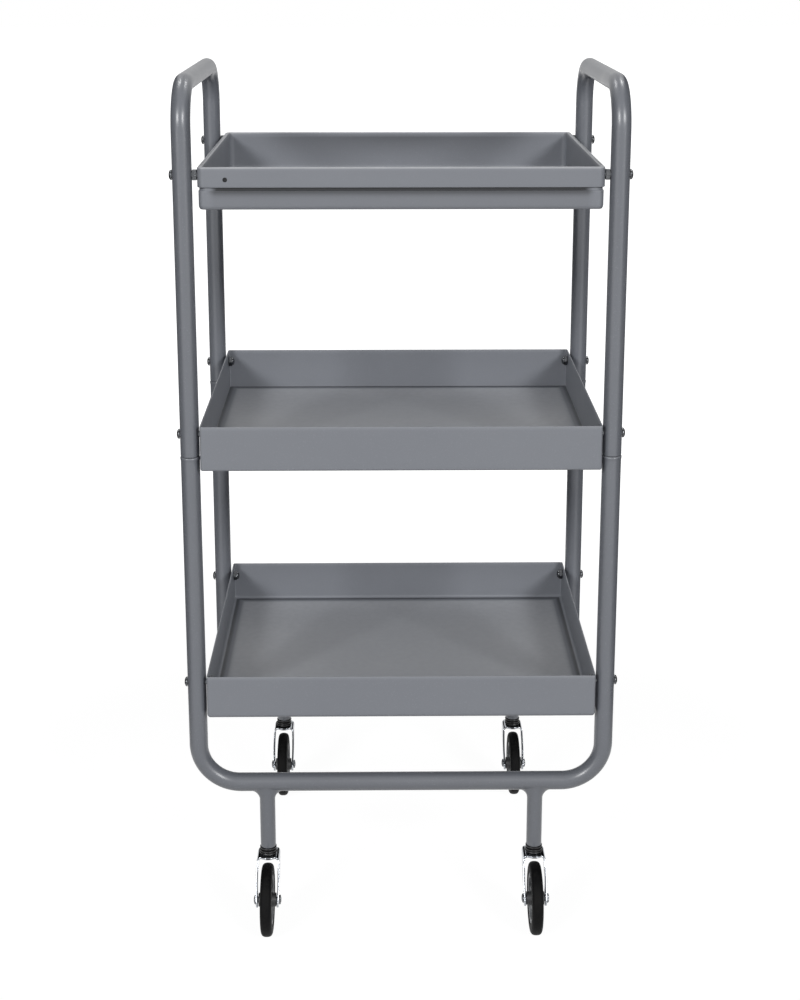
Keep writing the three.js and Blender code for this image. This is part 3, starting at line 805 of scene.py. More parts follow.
# %% [markdown]
# ## The top tray
#
# The top tray is a pan whose rim is folded out and down into a skirt, so that no raw edge meets the
# hand. The bolts hold it by that skirt. Under the skirt a band goes round the pan, set in a little,
# with its lower edge curled under. The gap between the two is a groove, which runs out before the
# corners. Its own shadow, with painted shade in it and on the top of the band, makes the thin dark
# line across the front. The section simply has more folds; the way of carrying it is the same.
#
# The inside of the rear wall is painted darker towards its rim, a painted shade that is one more
# share of the "edge" attribute. One small round hole in the front of the skirt is cut with a
# Boolean, the only cut that the looks need.

# %% Section of the top tray
TOP_FOLD_R = 4 * MM
SKIRT_HEIGHT = 19.6 * MM
SKIRT_GAP = 2 * MM
RIM_R = 1.8 * MM
BAND_INSET = 0.9 * MM
BAND_EDGE = 0.5 * MM
GROOVE = 3.2 * MM
GROOVE_ABOVE = 16 * MM
BAND_CURL = 1.6 * MM
CURL_HEIGHT = 4 * MM
PAN = SHEET + SKIRT_GAP


def top_tray_section(floor_z, rim_z):
    """Rows of (inset, height): fold, pan wall, band, groove, under the rim, skirt, rim, inside.

    Near its lower edge the band curls in by curl × (share of the curl's height)².
    """
    inside = PAN + SHEET
    skirt_z = rim_z - SKIRT_HEIGHT
    band_z = skirt_z - GROOVE
    band_in = BAND_INSET + SHEET
    lip_z = floor_z + SHEET / 2
    section = np.vstack([
        arc([PAN + TOP_FOLD_R, floor_z + TOP_FOLD_R], TOP_FOLD_R, 270, 180, 8),
        line([PAN, floor_z + TOP_FOLD_R], [PAN, band_z - SHEET], 3),
        line([band_in, band_z - SHEET], [band_in, lip_z], 12),
        arc([BAND_INSET + SHEET / 2, lip_z], SHEET / 2, 0, -180, 6),
        line([BAND_INSET, lip_z], [BAND_INSET, band_z - BAND_EDGE], 20),
        arc([BAND_INSET + BAND_EDGE, band_z - BAND_EDGE], BAND_EDGE, 180, 90, 4),
        line([PAN, band_z], [PAN, skirt_z + GROOVE_ABOVE], 10),
        line([PAN, rim_z - SHEET], [RIM_R, rim_z - SHEET], 2),
        arc([RIM_R, rim_z - RIM_R], RIM_R - SHEET, 90, 180, 4),
        line([SHEET, rim_z - RIM_R], [SHEET, skirt_z + SHEET / 2], 6),
        arc([SHEET / 2, skirt_z + SHEET / 2], SHEET / 2, 0, -180, 8),
        line([0, skirt_z + SHEET / 2], [0, rim_z - RIM_R], 6),
        arc([RIM_R, rim_z - RIM_R], RIM_R, 180, 90, 6),
        line([RIM_R, rim_z], [inside - SHEET, rim_z], 2),
        arc([inside - SHEET, rim_z - SHEET], SHEET, 90, 0, 5),
        line([inside, rim_z - SHEET], [inside, floor_z + TOP_FOLD_R], 8),
        arc([PAN + TOP_FOLD_R, floor_z + TOP_FOLD_R], TOP_FOLD_R - SHEET, 180, 270, 8),
    ])
    inset, height = section.T
    low_share = np.clip((floor_z + CURL_HEIGHT - height) / CURL_HEIGHT, 0, 1)
    section[:, 0] += (inset < PAN - MERGE) * BAND_CURL * low_share**2
    return section


print("the section has", len(top_tray_section(*measure("top_tray")[:, 2])), "rows")

# %% Groove, band and rear wall
TOP_STEPS = (10, 28)
GROOVE_RUN_OUT = 11 * MM
CORNER_GROOVE = 1.25 * SHEET
BAND_SHADE = 4.5 * MM
BAND_SHADOW = 0.7
BAND_PAINTED_SHADE = 0.22
REAR_WALL_SHADE = 0.62


def close_groove(points, section, rim_z):
    """Brings the groove's back out to the skirt near the corners; paints shade on groove and band.

    The groove is full, 1, along an edge and runs out to 0 at the corners, as a smooth step of the
    distance from the corner. Its rows are the pan's wall from the band up to a little above the
    skirt's lower edge, where they fade; they carry painted shade. The band below carries a little
    painted shade, most at the groove.
    """
    place, outward = ring(*TOP_STEPS)
    inset, height = section.T
    skirt_z = rim_z - SKIRT_HEIGHT
    on_wall = np.isclose(inset, PAN) & (height > skirt_z - GROOVE - BAND_EDGE)
    row = on_wall * np.clip((skirt_z + GROOVE_ABOVE - height) / (GROOVE_ABOVE / 2), 0, 1)
    row = np.pad(row, FLOOR_RINGS)[:, None]
    half = np.abs(points[:, :, :2] - points[:, :, :2].mean((0, 1))).max((0, 1))
    from_corner = np.clip(((1 - np.abs(place)) @ half) / GROOVE_RUN_OUT, 0, 1)
    depth = from_corner**2 * (3 - 2 * from_corner)
    push = row * (1 - depth) * (PAN - CORNER_GROOVE)
    points[:, :, :2] += push[:, :, None] * outward
    below = np.clip(skirt_z - GROOVE - height, 0, None)
    on_band = inset < PAN / 2
    # painted shade on the band, strongest just under the groove
    near = np.exp(-((below / BAND_SHADE) ** 2))
    faded = (on_band & (below > 0)) * (BAND_PAINTED_SHADE + (BAND_SHADOW - BAND_PAINTED_SHADE) * near)
    return (row + np.pad(faded, FLOOR_RINGS)[:, None]) * depth


def rear_wall_shade(points, section, half):
    """Painted shade on the rear wall's inside: share of the height × (1 - share of the half width²).
    """
    outward = ring(*TOP_STEPS)[1]
    inset, height = section.T
    share = (inset > PAN + SHEET - MERGE) * (height - height.min()) / np.ptp(height)
    across = (points[:, :, 0] - points[:, :, 0].mean()) / half[0]
    at_rear = np.pad(share, FLOOR_RINGS)[:, None] * np.clip(outward[:, 1], 0, 1)
    return REAR_WALL_SHADE * at_rear * (1 - across**2)


print("the groove runs out over", GROOVE_RUN_OUT / MM, "mm")

# %% Top tray and its hole
TOP_CORNER_R = 7 * MM
TOP_RIM_FILM_REACH = 1.4 * MM
HOLE_R = 2.3 * MM
HOLE_SIDES = 40
HOLE_INSET = 27 * MM
HOLE_DROP = 12 * MM


def cut_hole(piece, middle, radius, depth):
    """Cuts a round hole along Y with a Boolean, and keeps the result as the piece's own mesh."""
    shape = bmesh.new()
    bmesh.ops.create_cone(
        shape, cap_ends=True, segments=HOLE_SIDES, radius1=radius, radius2=radius, depth=depth
    )
    along_y = Vector((0, 1, 0)).to_track_quat("Z", "Y").to_matrix()
    bmesh.ops.rotate(shape, verts=shape.verts, matrix=along_y)
    bmesh.ops.translate(shape, verts=shape.verts, vec=middle)
    mesh = bpy.data.meshes.new("hole_cutter")
    shape.to_mesh(mesh)
    shape.free()
    cutter = bpy.data.objects.new("hole_cutter", mesh)
    bpy.context.scene.collection.objects.link(cutter)
    cut = piece.modifiers.new("small_hole", "BOOLEAN")
    cut.operation = "DIFFERENCE"
    cut.object = cutter
    evaluated = piece.evaluated_get(bpy.context.evaluated_depsgraph_get())
    finished = bpy.data.meshes.new_from_object(evaluated)
    piece.modifiers.clear()
    piece.data = finished
    bpy.data.objects.remove(cutter)


def top_tray():
    """The pan with its skirt and band, and the small hole in front."""
    low, high = measure("top_tray")
    floor_z, rim_z = low[2] + FLOOR_SAG, high[2]
    section = top_tray_section(floor_z, rim_z)
    corner_r = np.maximum(TOP_CORNER_R - np.mod(section[:, 0], PAN - MERGE), SHEET * 2)
    half = (high[:2] - low[:2]) / 2
    points = carried_round(section, half, corner_r, (low[:2] + high[:2]) / 2, TOP_STEPS)
    # pale rim with a painted highlight, less the painted shade of groove and band
    edge = rim_film_and_highlight(points, rim_z, TOP_RIM_FILM_REACH) - close_groove(points, section, rim_z)
    # painted shade on the inside of the rear wall
    edge -= rear_wall_shade(points, section, half)
    piece = make_piece("top_tray", [(points, False, edge)], "grey_paint")
    skirt_middle = Vector((low[0] + HOLE_INSET, low[1] + SHEET / 2, rim_z - HOLE_DROP))
    cut_hole(piece, skirt_middle, HOLE_R, 2 * SKIRT_GAP)
    return dress(piece, "top_tray", "grey_paint")


piece = top_tray()
print(piece.name, len(piece.data.polygons), "faces, with its small hole")

# %% [markdown]
# ## Turned and six-sided pieces
#
# Bolts, nuts, pins, bearings and wheels are all turned: a profile swept round an axis. A Screw
# modifier does that for round pieces, but a nut is turned only on its corners and a bolt head has a
# six-sided socket. Letting the radius depend on the turn as well as on the row covers both. The
# corners of a nut come from taking the smaller of two radii: the hexagon's, and the cone that the
# lathe cuts.

# %% The turned surface
TURN_COLUMNS = 96
TURNS = np.arange(TURN_COLUMNS) * 2 * np.pi / TURN_COLUMNS
ALONG_X = (X, Y, Z)
ALONG_Z = (Z, X, Y)


def turned(radius, along, origin, axes):
    """A turned surface: origin + along × axis + radius × (cos v, sin v) across the axis.

    Both radius and along hold one value for each row, or one for each row and column.
    """
    shape = (len(radius), TURN_COLUMNS)
    radius = np.broadcast_to(radius.reshape(len(radius), -1), shape)
    along = np.broadcast_to(along.reshape(len(along), -1), shape)
    axis, first, second = axes
    across = np.cos(TURNS)[:, None] * first + np.sin(TURNS)[:, None] * second
    return np.array(origin) + along[:, :, None] * axis + radius[:, :, None] * across


def hexagon(flats):
    """Radius of a hexagon at each turn: half its width over flats / cos(angle from a flat)."""
    from_flat = np.mod(TURNS, np.pi / 3) - np.pi / 6
    return flats / 2 / np.cos(from_flat)


def full_turn(radii):
    """Round rows: each radius again for every column."""
    return np.repeat(np.array(radii)[:, None], TURN_COLUMNS, 1)


def turned_piece(node, radius, along, axes, slot, closed=False, edge=0.0):
    """A piece turned about the middle of its CAD box; along counts from the frame's origin."""
    origin = measure(node).mean(0) * (1 - axes[0])
    return make_piece(node, [(turned(radius, along, origin, axes), closed, edge)], slot)


print("a 10 mm nut is", round(2 * hexagon(10).max(), 2), "mm over its corners")

# %% [markdown]
# ## Bolts and nuts
#
# Twelve M6 bolts with low round heads pass through the posts. On the middle and bottom trays a dome
# nut closes each one inside the tray; on the top tray a plain nut fills the space between post and
# skirt. At a metre away they are bright dots, but the dots come from real shapes: the curve of a
# head round its six-sided socket, the chamfered corners of a nut, and the polished dome.

# %% Bolts
BOLT_R = 3 * MM
HEAD_R = 5 * MM
HEAD_HEIGHT = 2.6 * MM
HEAD_EDGE = 0.6 * MM
HEAD_CURVE = 62
SOCKET_FLATS = 4 * MM
SOCKET_DEPTH = 1.6 * MM
SOCKET_LIP = 0.2 * MM
SOCKET_MOUTH = 1.06
SOCKET_FLOOR = 0.98
CHAMFER = 0.5 * MM


def side_and_ends(node):
    """Which side a fastener is on, -1 or 1, and how far out its inner and outer ends are."""
    low, high = measure(node)[:, 0]
    return np.sign(low + high), *np.sort(np.abs([low, high]))


def bolt(node):
    """A round-head bolt. The head is a quarter ellipse that ends at a six-sided socket."""
    outwards, tip, top = side_and_ends(node)
    seat = top - HEAD_HEIGHT
    rise = HEAD_HEIGHT - HEAD_EDGE
    dome = np.radians(np.linspace(0, HEAD_CURVE, 12))
    dome_r = HEAD_R * np.cos(dome)
    dome_along = seat + HEAD_EDGE + rise * np.sin(dome) / np.sin(dome[-1])
    shank_r = [0, BOLT_R - CHAMFER, BOLT_R, BOLT_R, HEAD_R - CHAMFER / 2, HEAD_R]
    shank_along = [tip, tip, tip + CHAMFER, seat, seat, seat + CHAMFER / 2]
    socket = hexagon(SOCKET_FLATS)
    socket_r = [socket * SOCKET_MOUTH, socket, socket * SOCKET_FLOOR]
    socket_along = top - np.array([0, SOCKET_LIP, SOCKET_DEPTH, SOCKET_DEPTH + CHAMFER])
    radius = np.vstack([full_turn([*shank_r, *dome_r]), socket_r, full_turn([0])])
    along = np.concatenate([shank_along, dome_along, socket_along])
    return turned_piece(node, radius, outwards * along, ALONG_X, "zinc")


print("a bolt's head is", 2 * HEAD_R / MM, "mm wide and", HEAD_HEIGHT / MM, "mm high")

# %% Nuts
NUT_FLATS = 10 * MM
NUT_CHAMFER = 1.0 * MM
NUT_FACE = 0.97
NUT_SLOPE = 1.7
NUT_BASE = 4 * MM
DOME_R = 4.5 * MM
DOME_SHOULDER = 0.5 * MM


def nut_rows(height):
    """Radius and place of a chamfered nut's rows: the smaller of hexagon and cone."""
    chamfer = line(0, NUT_CHAMFER, 8)
    along = np.concatenate([chamfer, [height / 2], height - chamfer[::-1]])
    from_end = np.minimum(along, height - along)
    cone = NUT_FLATS / 2 * NUT_FACE + NUT_SLOPE * from_end
    return np.minimum(hexagon(NUT_FLATS), cone[:, None]), along


def plain_nut(node):
    """A nut with both ends closed flat."""
    low, high = measure(node)[:, 0]
    radius, along = nut_rows(high - low)
    radius = np.vstack([full_turn([0]), radius, full_turn([0])])
    along = low + np.concatenate([along[:1], along, along[-1:]])
    return turned_piece(node, radius, along, ALONG_X, "zinc")


def dome_nut(node):
    """A nut whose inner end carries a quarter ellipse."""
    outwards, inner, outer = side_and_ends(node)
    radius, along = nut_rows(NUT_BASE)
    dome = np.radians(np.linspace(0, 90, 16))
    dome_rise = outer - inner - NUT_BASE - DOME_SHOULDER
    dome_along = NUT_BASE + np.concatenate([[0], DOME_SHOULDER + dome_rise * np.sin(dome)])
    dome_r = [DOME_R, *(DOME_R * np.cos(dome))]
    radius = np.vstack([full_turn([0]), radius, full_turn(dome_r)])
    along = outer - np.concatenate([[0], along, dome_along])
    return turned_piece(node, radius, outwards * along, ALONG_X, "zinc")


print("a nut is", NUT_FLATS / MM, "mm over its flats")

# %% All fasteners
for corner in CORNERS:
    made = [bolt(f"{tier}_bolt_{corner}") for tier in ("top", "middle", "bottom")]
    made += [dome_nut(f"{tier}_dome_nut_{corner}") for tier in ("middle", "bottom")]
    made.append(plain_nut(f"top_weld_nut_{corner}"))
    print(corner, sum(len(p.data.polygons) for p in made), "faces on", len(made), "fasteners")

# %% [markdown]
# ## Caster: plug, bearing and kingpin
#
# A black plug is pressed into each stem and ends in a waisted collar. Under it a thin bearing ring
# carries the fork, and the kingpin runs up through all three with its head under the fork's crown.
# Only the collar's two discs and its waist show from the front, where they read as a small black
# spool with bright glints.

# %% Plugs
SPIGOT_R = 5.9 * MM
WAIST_R = 6.4 * MM
DISC = 1.7 * MM
SMALL_ROUND = 0.5 * MM
COLLAR = 5 * MM


def disc_rows(radius, top):
    """The rounded rim of a disc, from its upper face to its lower one."""
    middle_r = radius - SMALL_ROUND
    return np.vstack([
        arc([middle_r, top - SMALL_ROUND], SMALL_ROUND, 90, 0, 4),
        arc([middle_r, top - DISC + SMALL_ROUND], SMALL_ROUND, 0, -90, 4),
    ])


def stem_plug(corner):
    """A spigot above, then two discs with a hollow waist, which is half an ellipse."""
    node = f"stem_plug_{corner}"
    low, high = measure(node)
    disc_r = (high[0] - low[0]) / 2
    foot, end = low[2], high[2]
    top = foot + COLLAR
    hollow = np.radians(np.linspace(90, -90, 9))
    rim = disc_r - SMALL_ROUND
    waist_rows = np.column_stack([
        rim - (rim - WAIST_R) * np.cos(hollow),
        (top + foot) / 2 + (COLLAR / 2 - DISC) * np.sin(hollow),
    ])
    profile = np.vstack([
        [[0, end], [SPIGOT_R - SMALL_ROUND, end], [SPIGOT_R, end - SMALL_ROUND], [SPIGOT_R, top]],
        disc_rows(disc_r, top),
        waist_rows,
        disc_rows(disc_r, foot + DISC),
        [[0, foot]],
    ])
    return turned_piece(node, *profile.T, ALONG_Z, "black_plastic")


print("a plug's collar is", COLLAR / MM, "mm high")

# %% Bearings and kingpins
KINGPIN_R = 4 * MM
KINGPIN_HEAD = 2 * MM
KINGPIN_DOME = 0.6 * KINGPIN_HEAD


def swivel_bearing(corner):
    """A flat ring with a half-round rim."""
    node = f"swivel_bearing_{corner}"
    low, high = measure(node)
    radius = (high[0] - low[0]) / 2
    half = (high[2] - low[2]) / 2
    profile = np.vstack([
        [[0, high[2]], [radius - half, high[2]]],
        arc([radius - half, low[2] + half], half, 90, -90, 10),
        [[0, low[2]]],
    ])
    return turned_piece(node, *profile.T, ALONG_Z, "black_plastic")


def kingpin(corner):
    """A pin with a domed head at its foot."""
    node = f"kingpin_{corner}"
    low, high = measure(node)
    head_r = (high[0] - low[0]) / 2
    seat, end = low[2] + KINGPIN_HEAD, high[2]
    dome = np.radians(np.linspace(90, 0, 9))
    profile = np.vstack([
        np.column_stack([head_r * np.cos(dome), low[2] + KINGPIN_DOME * (1 - np.sin(dome))]),
        [[head_r, seat], [KINGPIN_R, seat]],
        [[KINGPIN_R, end - SMALL_ROUND], [KINGPIN_R - SMALL_ROUND, end], [0, end]],
    ])
    return turned_piece(node, *profile.T, ALONG_Z, "zinc")


for corner in CORNERS:
    made = [stem_plug(corner), swivel_bearing(corner), kingpin(corner)]
    print(corner, [p.name for p in made])

# %% [markdown]
# ## Caster: fork
#
# The fork is one strip of plated steel, bent over the wheel into an upside-down U and swept back to
# the axle, where each leg ends in a round eye. It is the tube's path again with a flat section: the
# strip's width changes with its height, from the full crown down to the eye, and its rear edge is
# drawn in along a curve.

# %% Forks
FORK_THICKNESS = 2 * MM
FORK_BEND_R = 3.6 * MM
FORK_EDGE = 0.55 * MM
EYE_R = 8 * MM
CROWN_REACH = 11 * MM
CROWN_START = 0.4
REAR_EDGE_CURVE = 1.45
LEG_BOW = 0.6 * MM
CROWN_BULGE = 2.5 * MM
FORK_STEPS = (5, 3)


def fork(corner):
    """A strip along a U: middle line + lean × thickness ring + Y × width ring.

    Above the axle its front edge runs straight from the eye to the crown, and its rear edge follows
    the share of the height raised to a power. Below the axle the half width is sqrt(eye² - depth²),
    which closes the eye.
    """
    low, high = measure(f"fork_{corner}")
    kingpin_at = measure(f"kingpin_{corner}").mean(0)
    axle_at = measure(f"axle_{corner}").mean(0)
    crown_z = high[2] - FORK_THICKNESS / 2
    half = (high[0] - low[0]) / 2 - FORK_THICKNESS / 2
    flat = half - FORK_BEND_R
    bend = FORK_BEND_R * np.pi / 2
    leg = crown_z - FORK_BEND_R - axle_at[2]
    into_eye = EYE_R * np.sin(np.linspace(0, np.pi / 2, 15))[1:]
    out = np.concatenate([
        line(0, flat, 8),
        flat + line(0, bend, 12)[1:],
        flat + bend + line(0, leg, 24)[1:],
        flat + bend + leg + into_eye,
    ])
    distance = np.concatenate([-out[:0:-1], out])
    reach, drop, turn = u_path(distance, flat, FORK_BEND_R)
    height = crown_z - drop - axle_at[2]
    share = np.clip(height / (leg + FORK_BEND_R * CROWN_START), 0, 1)
    eye = np.sqrt(np.maximum(EYE_R**2 - np.minimum(height, 0) ** 2, 0))
    ahead = kingpin_at[1] - axle_at[1]
    front = axle_at[1] - eye + share * (ahead - CROWN_REACH + EYE_R)
    front -= CROWN_BULGE * np.clip(1 - (reach / flat) ** 2, 0, 1)
    rear = axle_at[1] + eye + share**REAR_EDGE_CURVE * (ahead + CROWN_REACH - EYE_R)
    reach = reach + np.sign(reach) * LEG_BOW * np.sin(np.pi * share)
    place, outward = ring(*FORK_STEPS)
    wide = (rear - front) / 2
    edge_r = np.minimum(FORK_EDGE, wide)
    round_y, round_x = (outward * edge_r[:, None, None]).transpose(2, 0, 1)
    y = (front + rear)[:, None] / 2 + place[:, 0] * (wide - edge_r)[:, None] + round_y
    thick = place[:, 1] * (FORK_THICKNESS / 2 - edge_r)[:, None] + round_x
    x = kingpin_at[0] + reach[:, None] + np.sin(turn)[:, None] * thick
    z = crown_z - drop[:, None] + np.cos(turn)[:, None] * thick
    return make_piece(f"fork_{corner}", [(np.stack([x, y, z], -1), False, 0.0)], "chrome")


for corner in CORNERS:
    piece = fork(corner)
    print(piece.name, len(piece.data.polygons), "faces")

# %% [markdown]
# ## Caster: axle, wheel centre and tyre
#
# The axle is a plain bolt with a low head on one side and a nut on the other. The wheel centre is
# moulded nylon: a boss on the axle, a thin web stiffened by six low ribs, and a rim. The tyre is a
# rubber ring with soft shoulders. In the CAD model the wheel has twenty flats and stands on one of
# them, so the smooth tyre takes its radius from the axle's height above the floor, and just touches
# it.

# %% Axles
AXLE_R = 3 * MM
AXLE_HEAD = 2.3 * MM
AXLE_DOME = 0.8 * AXLE_HEAD
AXLE_NUT_FLATS = 8.4 * MM
AXLE_TIP = 0.5 * MM
TIP_R = 0.9 * AXLE_R
TIP_END_R = 0.75 * AXLE_R


def axle(corner):
    """A low domed head at one end, a six-sided nut with the bolt's tip in it at the other."""
    node = f"axle_{corner}"
    low, high = measure(node)
    head_r = (high[2] - low[2]) / 2
    head, tip = low[0] + AXLE_HEAD, high[0]
    nut_start, nut_end = tip - AXLE_HEAD, tip - AXLE_TIP
    dome = np.radians(np.linspace(90, 0, 9))
    dome_along = low[0] + AXLE_DOME * (1 - np.sin(dome))
    nut = hexagon(AXLE_NUT_FLATS)
    radius = np.vstack([
        full_turn([*(head_r * np.cos(dome)), head_r, AXLE_R, AXLE_R]),
        [nut, nut, np.minimum(nut, AXLE_NUT_FLATS / 2)],
        full_turn([TIP_R, TIP_R, TIP_END_R, 0]),
    ])
    along = np.array([
        *dome_along, head, head, nut_start,
        nut_start, nut_end - AXLE_TIP, nut_end,
        nut_end, tip - AXLE_TIP / 3, tip, tip,
    ])
    return turned_piece(node, radius, along, ALONG_X, "zinc")


print("an axle is", 2 * AXLE_R / MM, "mm thick")

# %% Wheel centres
HUB_BORE = AXLE_R + 0.2 * MM
HUB_BOSS_R = 7 * MM
HUB_WEB = 2 * MM
HUB_RIM = 4 * MM
HUB_RIM_HALF = 5.2 * MM
HUB_DRAFT = 1.2 * MM
HUB_ROUND = 0.6 * MM
RIB_HEIGHT = 1.7 * MM
RIBS = 6
RIB_CURVE = 3


def hub(corner):
    """Boss, web and rim on both sides; the web rises at each rib by a power of a cosine."""
    node = f"hub_{corner}"
    low, high = measure(node)
    boss_x = (high[0] - low[0]) / 2
    rim_r = (high[2] - low[2]) / 2
    rib = RIB_HEIGHT * np.clip(np.cos(RIBS * TURNS), 0, 1) ** RIB_CURVE
    small = HUB_ROUND
    rim_in = rim_r - HUB_RIM
    draft = HUB_BOSS_R + small
    profile = np.vstack([
        [[HUB_BORE, boss_x - small]],
        line([HUB_BORE + small, boss_x], [HUB_BOSS_R - small, boss_x], 1),
        arc([HUB_BOSS_R - small, boss_x - small], small, 90, 0, 4),
        line([draft, HUB_WEB + HUB_DRAFT], [draft + HUB_DRAFT, HUB_WEB], 3),
        line([HUB_BOSS_R + 2 * HUB_DRAFT, HUB_WEB], [rim_in - small, HUB_WEB], 8),
        arc([rim_in - small, HUB_WEB + small], small, 270, 360, 4),
        arc([rim_in + small, HUB_RIM_HALF - small], small, 180, 90, 4),
        line([rim_r - small / 2, HUB_RIM_HALF], [rim_r, HUB_RIM_HALF - small / 2], 1),
    ])
    on_web = np.isclose(profile[:, 1:], HUB_WEB)
    side = profile[:, 1:] + on_web * rib
    radius = np.concatenate([profile[:, 0], profile[::-1, 0]])
    along = np.vstack([side, -side[::-1]]) + (low[0] + high[0]) / 2
    dark_boss_rows = (radius < HUB_BOSS_R + HUB_DRAFT)[:, None]
    return turned_piece(node, radius, along, ALONG_X, "grey_plastic", True, dark_boss_rows)


print("a wheel centre has", RIBS, "ribs on each side")

# %% Tyres
TYRE_GAP = 0.3 * MM
TYRE_BEAD = 1.0 * MM
BEAD_STEP = 1.6 * TYRE_BEAD
TYRE_SHOULDER = 5.4 * MM
TREAD_DEPTH = 1.6 * MM
TREAD_CURVE = 0.75


def tyre(corner):
    """A ring with a rounded hump: x = half × cos(a)^c and r = shoulder + rise × sin(a)^c."""
    node = f"tyre_{corner}"
    low, high = measure(node)
    middle = (low + high) / 2
    half = (high[0] - low[0]) / 2
    tread_r = middle[2]
    inner_r = measure(f"hub_{corner}")[1][2] - middle[2] + TYRE_GAP
    shoulder_r = inner_r + TYRE_SHOULDER
    angle = np.radians(np.linspace(0, 90, 20))
    hump = np.column_stack([
        shoulder_r + (tread_r - shoulder_r) * np.sin(angle) ** TREAD_CURVE,
        half * np.cos(angle) ** TREAD_CURVE,
    ])
    step = half - TYRE_BEAD / 2
    side = np.vstack([
        line([inner_r, half - TYRE_BEAD], [inner_r + TYRE_BEAD / 2, step], 1),
        line([inner_r + BEAD_STEP, step], [inner_r + 2 * TYRE_BEAD, half], 2),
        hump[1:],
    ])
    radius, along = np.vstack([side, side[-2::-1] * [1, -1]]).T
    tread = np.clip((radius - tread_r) / TREAD_DEPTH + 1, 0, 1)[:, None]
    return turned_piece(node, radius, along + middle[0], ALONG_X, "rubber", True, tread)


print("dust on a tread reaches", TREAD_DEPTH / MM, "mm down its sides")

# %% All axles and wheels
for corner in CORNERS:
    made = [axle(corner), hub(corner), tyre(corner)]
    print(corner, [len(p.data.polygons) for p in made], "faces on axle, hub and tyre")

# %% [markdown]
# ## The white background
#
# The photograph was taken against white paper. Paper that is lit until it is white would also flood
# the trolley with light, so the white comes from the Light Path node instead: the camera, and
# anything that reflects or refracts, sees white, while the light that reaches the trolley stays at
# a plain level. The floor mixes that white with an ordinary pale surface, which keeps a soft, faint
# shadow round the wheels.

# %% What is seen as white
WHITE = (1, 1, 1, 1)


def seen_directly(wire):
    """1 for camera rays and for reflected and refracted ones, 0 for rays that only carry light."""
    def ray(kind):
        return wire.node("ShaderNodeLightPath", output=kind)

    either = wire.sum("MAXIMUM", ray("Is Camera Ray"), ray("Is Glossy Ray"))
    return wire.sum("MAXIMUM", either, ray("Is Transmission Ray"))


def flat_mesh(name, corners):
    """One four-sided face as a stage object."""
    mesh = bpy.data.meshes.new(name)
    mesh.from_pydata(corners, [], [(0, 1, 2, 3)])
    item = bpy.data.objects.new(name, mesh)
    bpy.context.scene.collection.objects.link(item)
    return item


print("white is", WHITE[:3], "in linear values")

# %% Floor and background
FLOOR_SIZE = 40.0
SHADOW_SHARE = 0.24
PAPER_SHADE = 0.38
PAPER_LIGHT = 0.182
FADE_FROM = 0.5
FADE_TO = 1.5
AMBIENT = 0.09


def studio_floor():
    """Paper whose shadow shows near the trolley, and which is plain white further out.

    The white's strength makes lit paper come out at 1: it is (1 - shadow share × paper's own light)
    / (1 - shadow share).
    """
    half = FLOOR_SIZE / 2
    corners = [(-half, -half, 0), (half, -half, 0), (half, half, 0), (-half, half, 0)]
    floor = flat_mesh("studio_floor", corners)
    material, wire, place = new_finish("white_paper")
    away = wire.node("ShaderNodeVectorMath", {"operation": "LENGTH"}, {0: place}, "Value")
    shadow = SHADOW_SHARE * (1 - between(away, FADE_FROM, FADE_TO))
    level = (1 - SHADOW_SHARE * PAPER_LIGHT) / (1 - SHADOW_SHARE)
    shade = (PAPER_SHADE, PAPER_SHADE, PAPER_SHADE, 1)
    paper = wire.node("ShaderNodeBsdfDiffuse", None, {"Color": shade})
    white = wire.node("ShaderNodeEmission", None, {"Color": WHITE, "Strength": level})
    share = seen_directly(wire) * (1 - shadow)
    mixed = wire.node("ShaderNodeMixShader", None, {0: share, 1: paper, 2: white})
    wire.node("ShaderNodeOutputMaterial", None, {"Surface": mixed})
    floor.data.materials.append(material)


def white_world():
    """A world that is white to look at, and gives only a little light."""
    world = bpy.data.worlds.new("white_studio")
    world.use_nodes = True
    world.node_tree.nodes.clear()
    wire = Wire(world.node_tree)
    strength = AMBIENT + seen_directly(wire) * (1 - AMBIENT)
    background = wire.node("ShaderNodeBackground", None, {"Color": WHITE, "Strength": strength})
    wire.node("ShaderNodeOutputWorld", None, {"Surface": background})
    bpy.context.scene.world = world


studio_floor()
white_world()
bpy.context.scene.view_settings.view_transform = "Standard"
print("floor and white background are set; ambient light", AMBIENT)

# %% [markdown]
# ## The lights
#
# A studio lights a glossy thing mostly by what it reflects. Two soft boxes stand in front, about 33
# degrees to the left and right, and their twin reflections show on every bend. They stand far away,
# so that the lowest tray is as bright as the highest.
#
# The rest only mends what those two leave. Low boxes draw the faint lines on the upper posts, and
# high ones put a glint on each handle's bend and along the tray rims; only reflections show them.
# Three weak fill lights behind the trolley have no reflections, and keep its sides and back from
# going black. Upright boards, which again only reflections show, do the opposite of a lamp: black
# flags at both sides darken the edges of the tubes, and a grey card behind each handle calms its
# top.

# %% Soft boxes, flags and cards
AIM = Vector((0, 0, 0.5))
KEY_AT, KEY_SIZE, KEY_POWER = (5.6, -8.75, 5.5), (2.75, 2.5), 650
LOW_AT, LOW_SIZE, LOW_POWER = (2.6, -3.0, 0.55), (0.8, 0.4), 5
HIGH_AT, HIGH_SIZE, HIGH_POWER = (1.05, 1.2, 3.4), (0.6, 0.6), 18
SIDE_FILL_AT, SIDE_FILL_POWER = (2.7, 1.9, 0.25), 26
REAR_FILL_AT, REAR_FILL_POWER = (0, 3.4, 0.6), 32
FILL_SIZE = (1.6, 0.5)
FLAG_FRONT, FLAG_REAR, FLAG_FOOT = (0.8, -0.6, 2.0), (0.28, 1.2, 0.6), 0.0
CARD_OUTER, CARD_INNER, CARD_FOOT = (0.30, 0.5, 0.98), (0.11, 0.5, 0.98), 0.8
BLACK = 0.003
PALE_GREY = 0.7
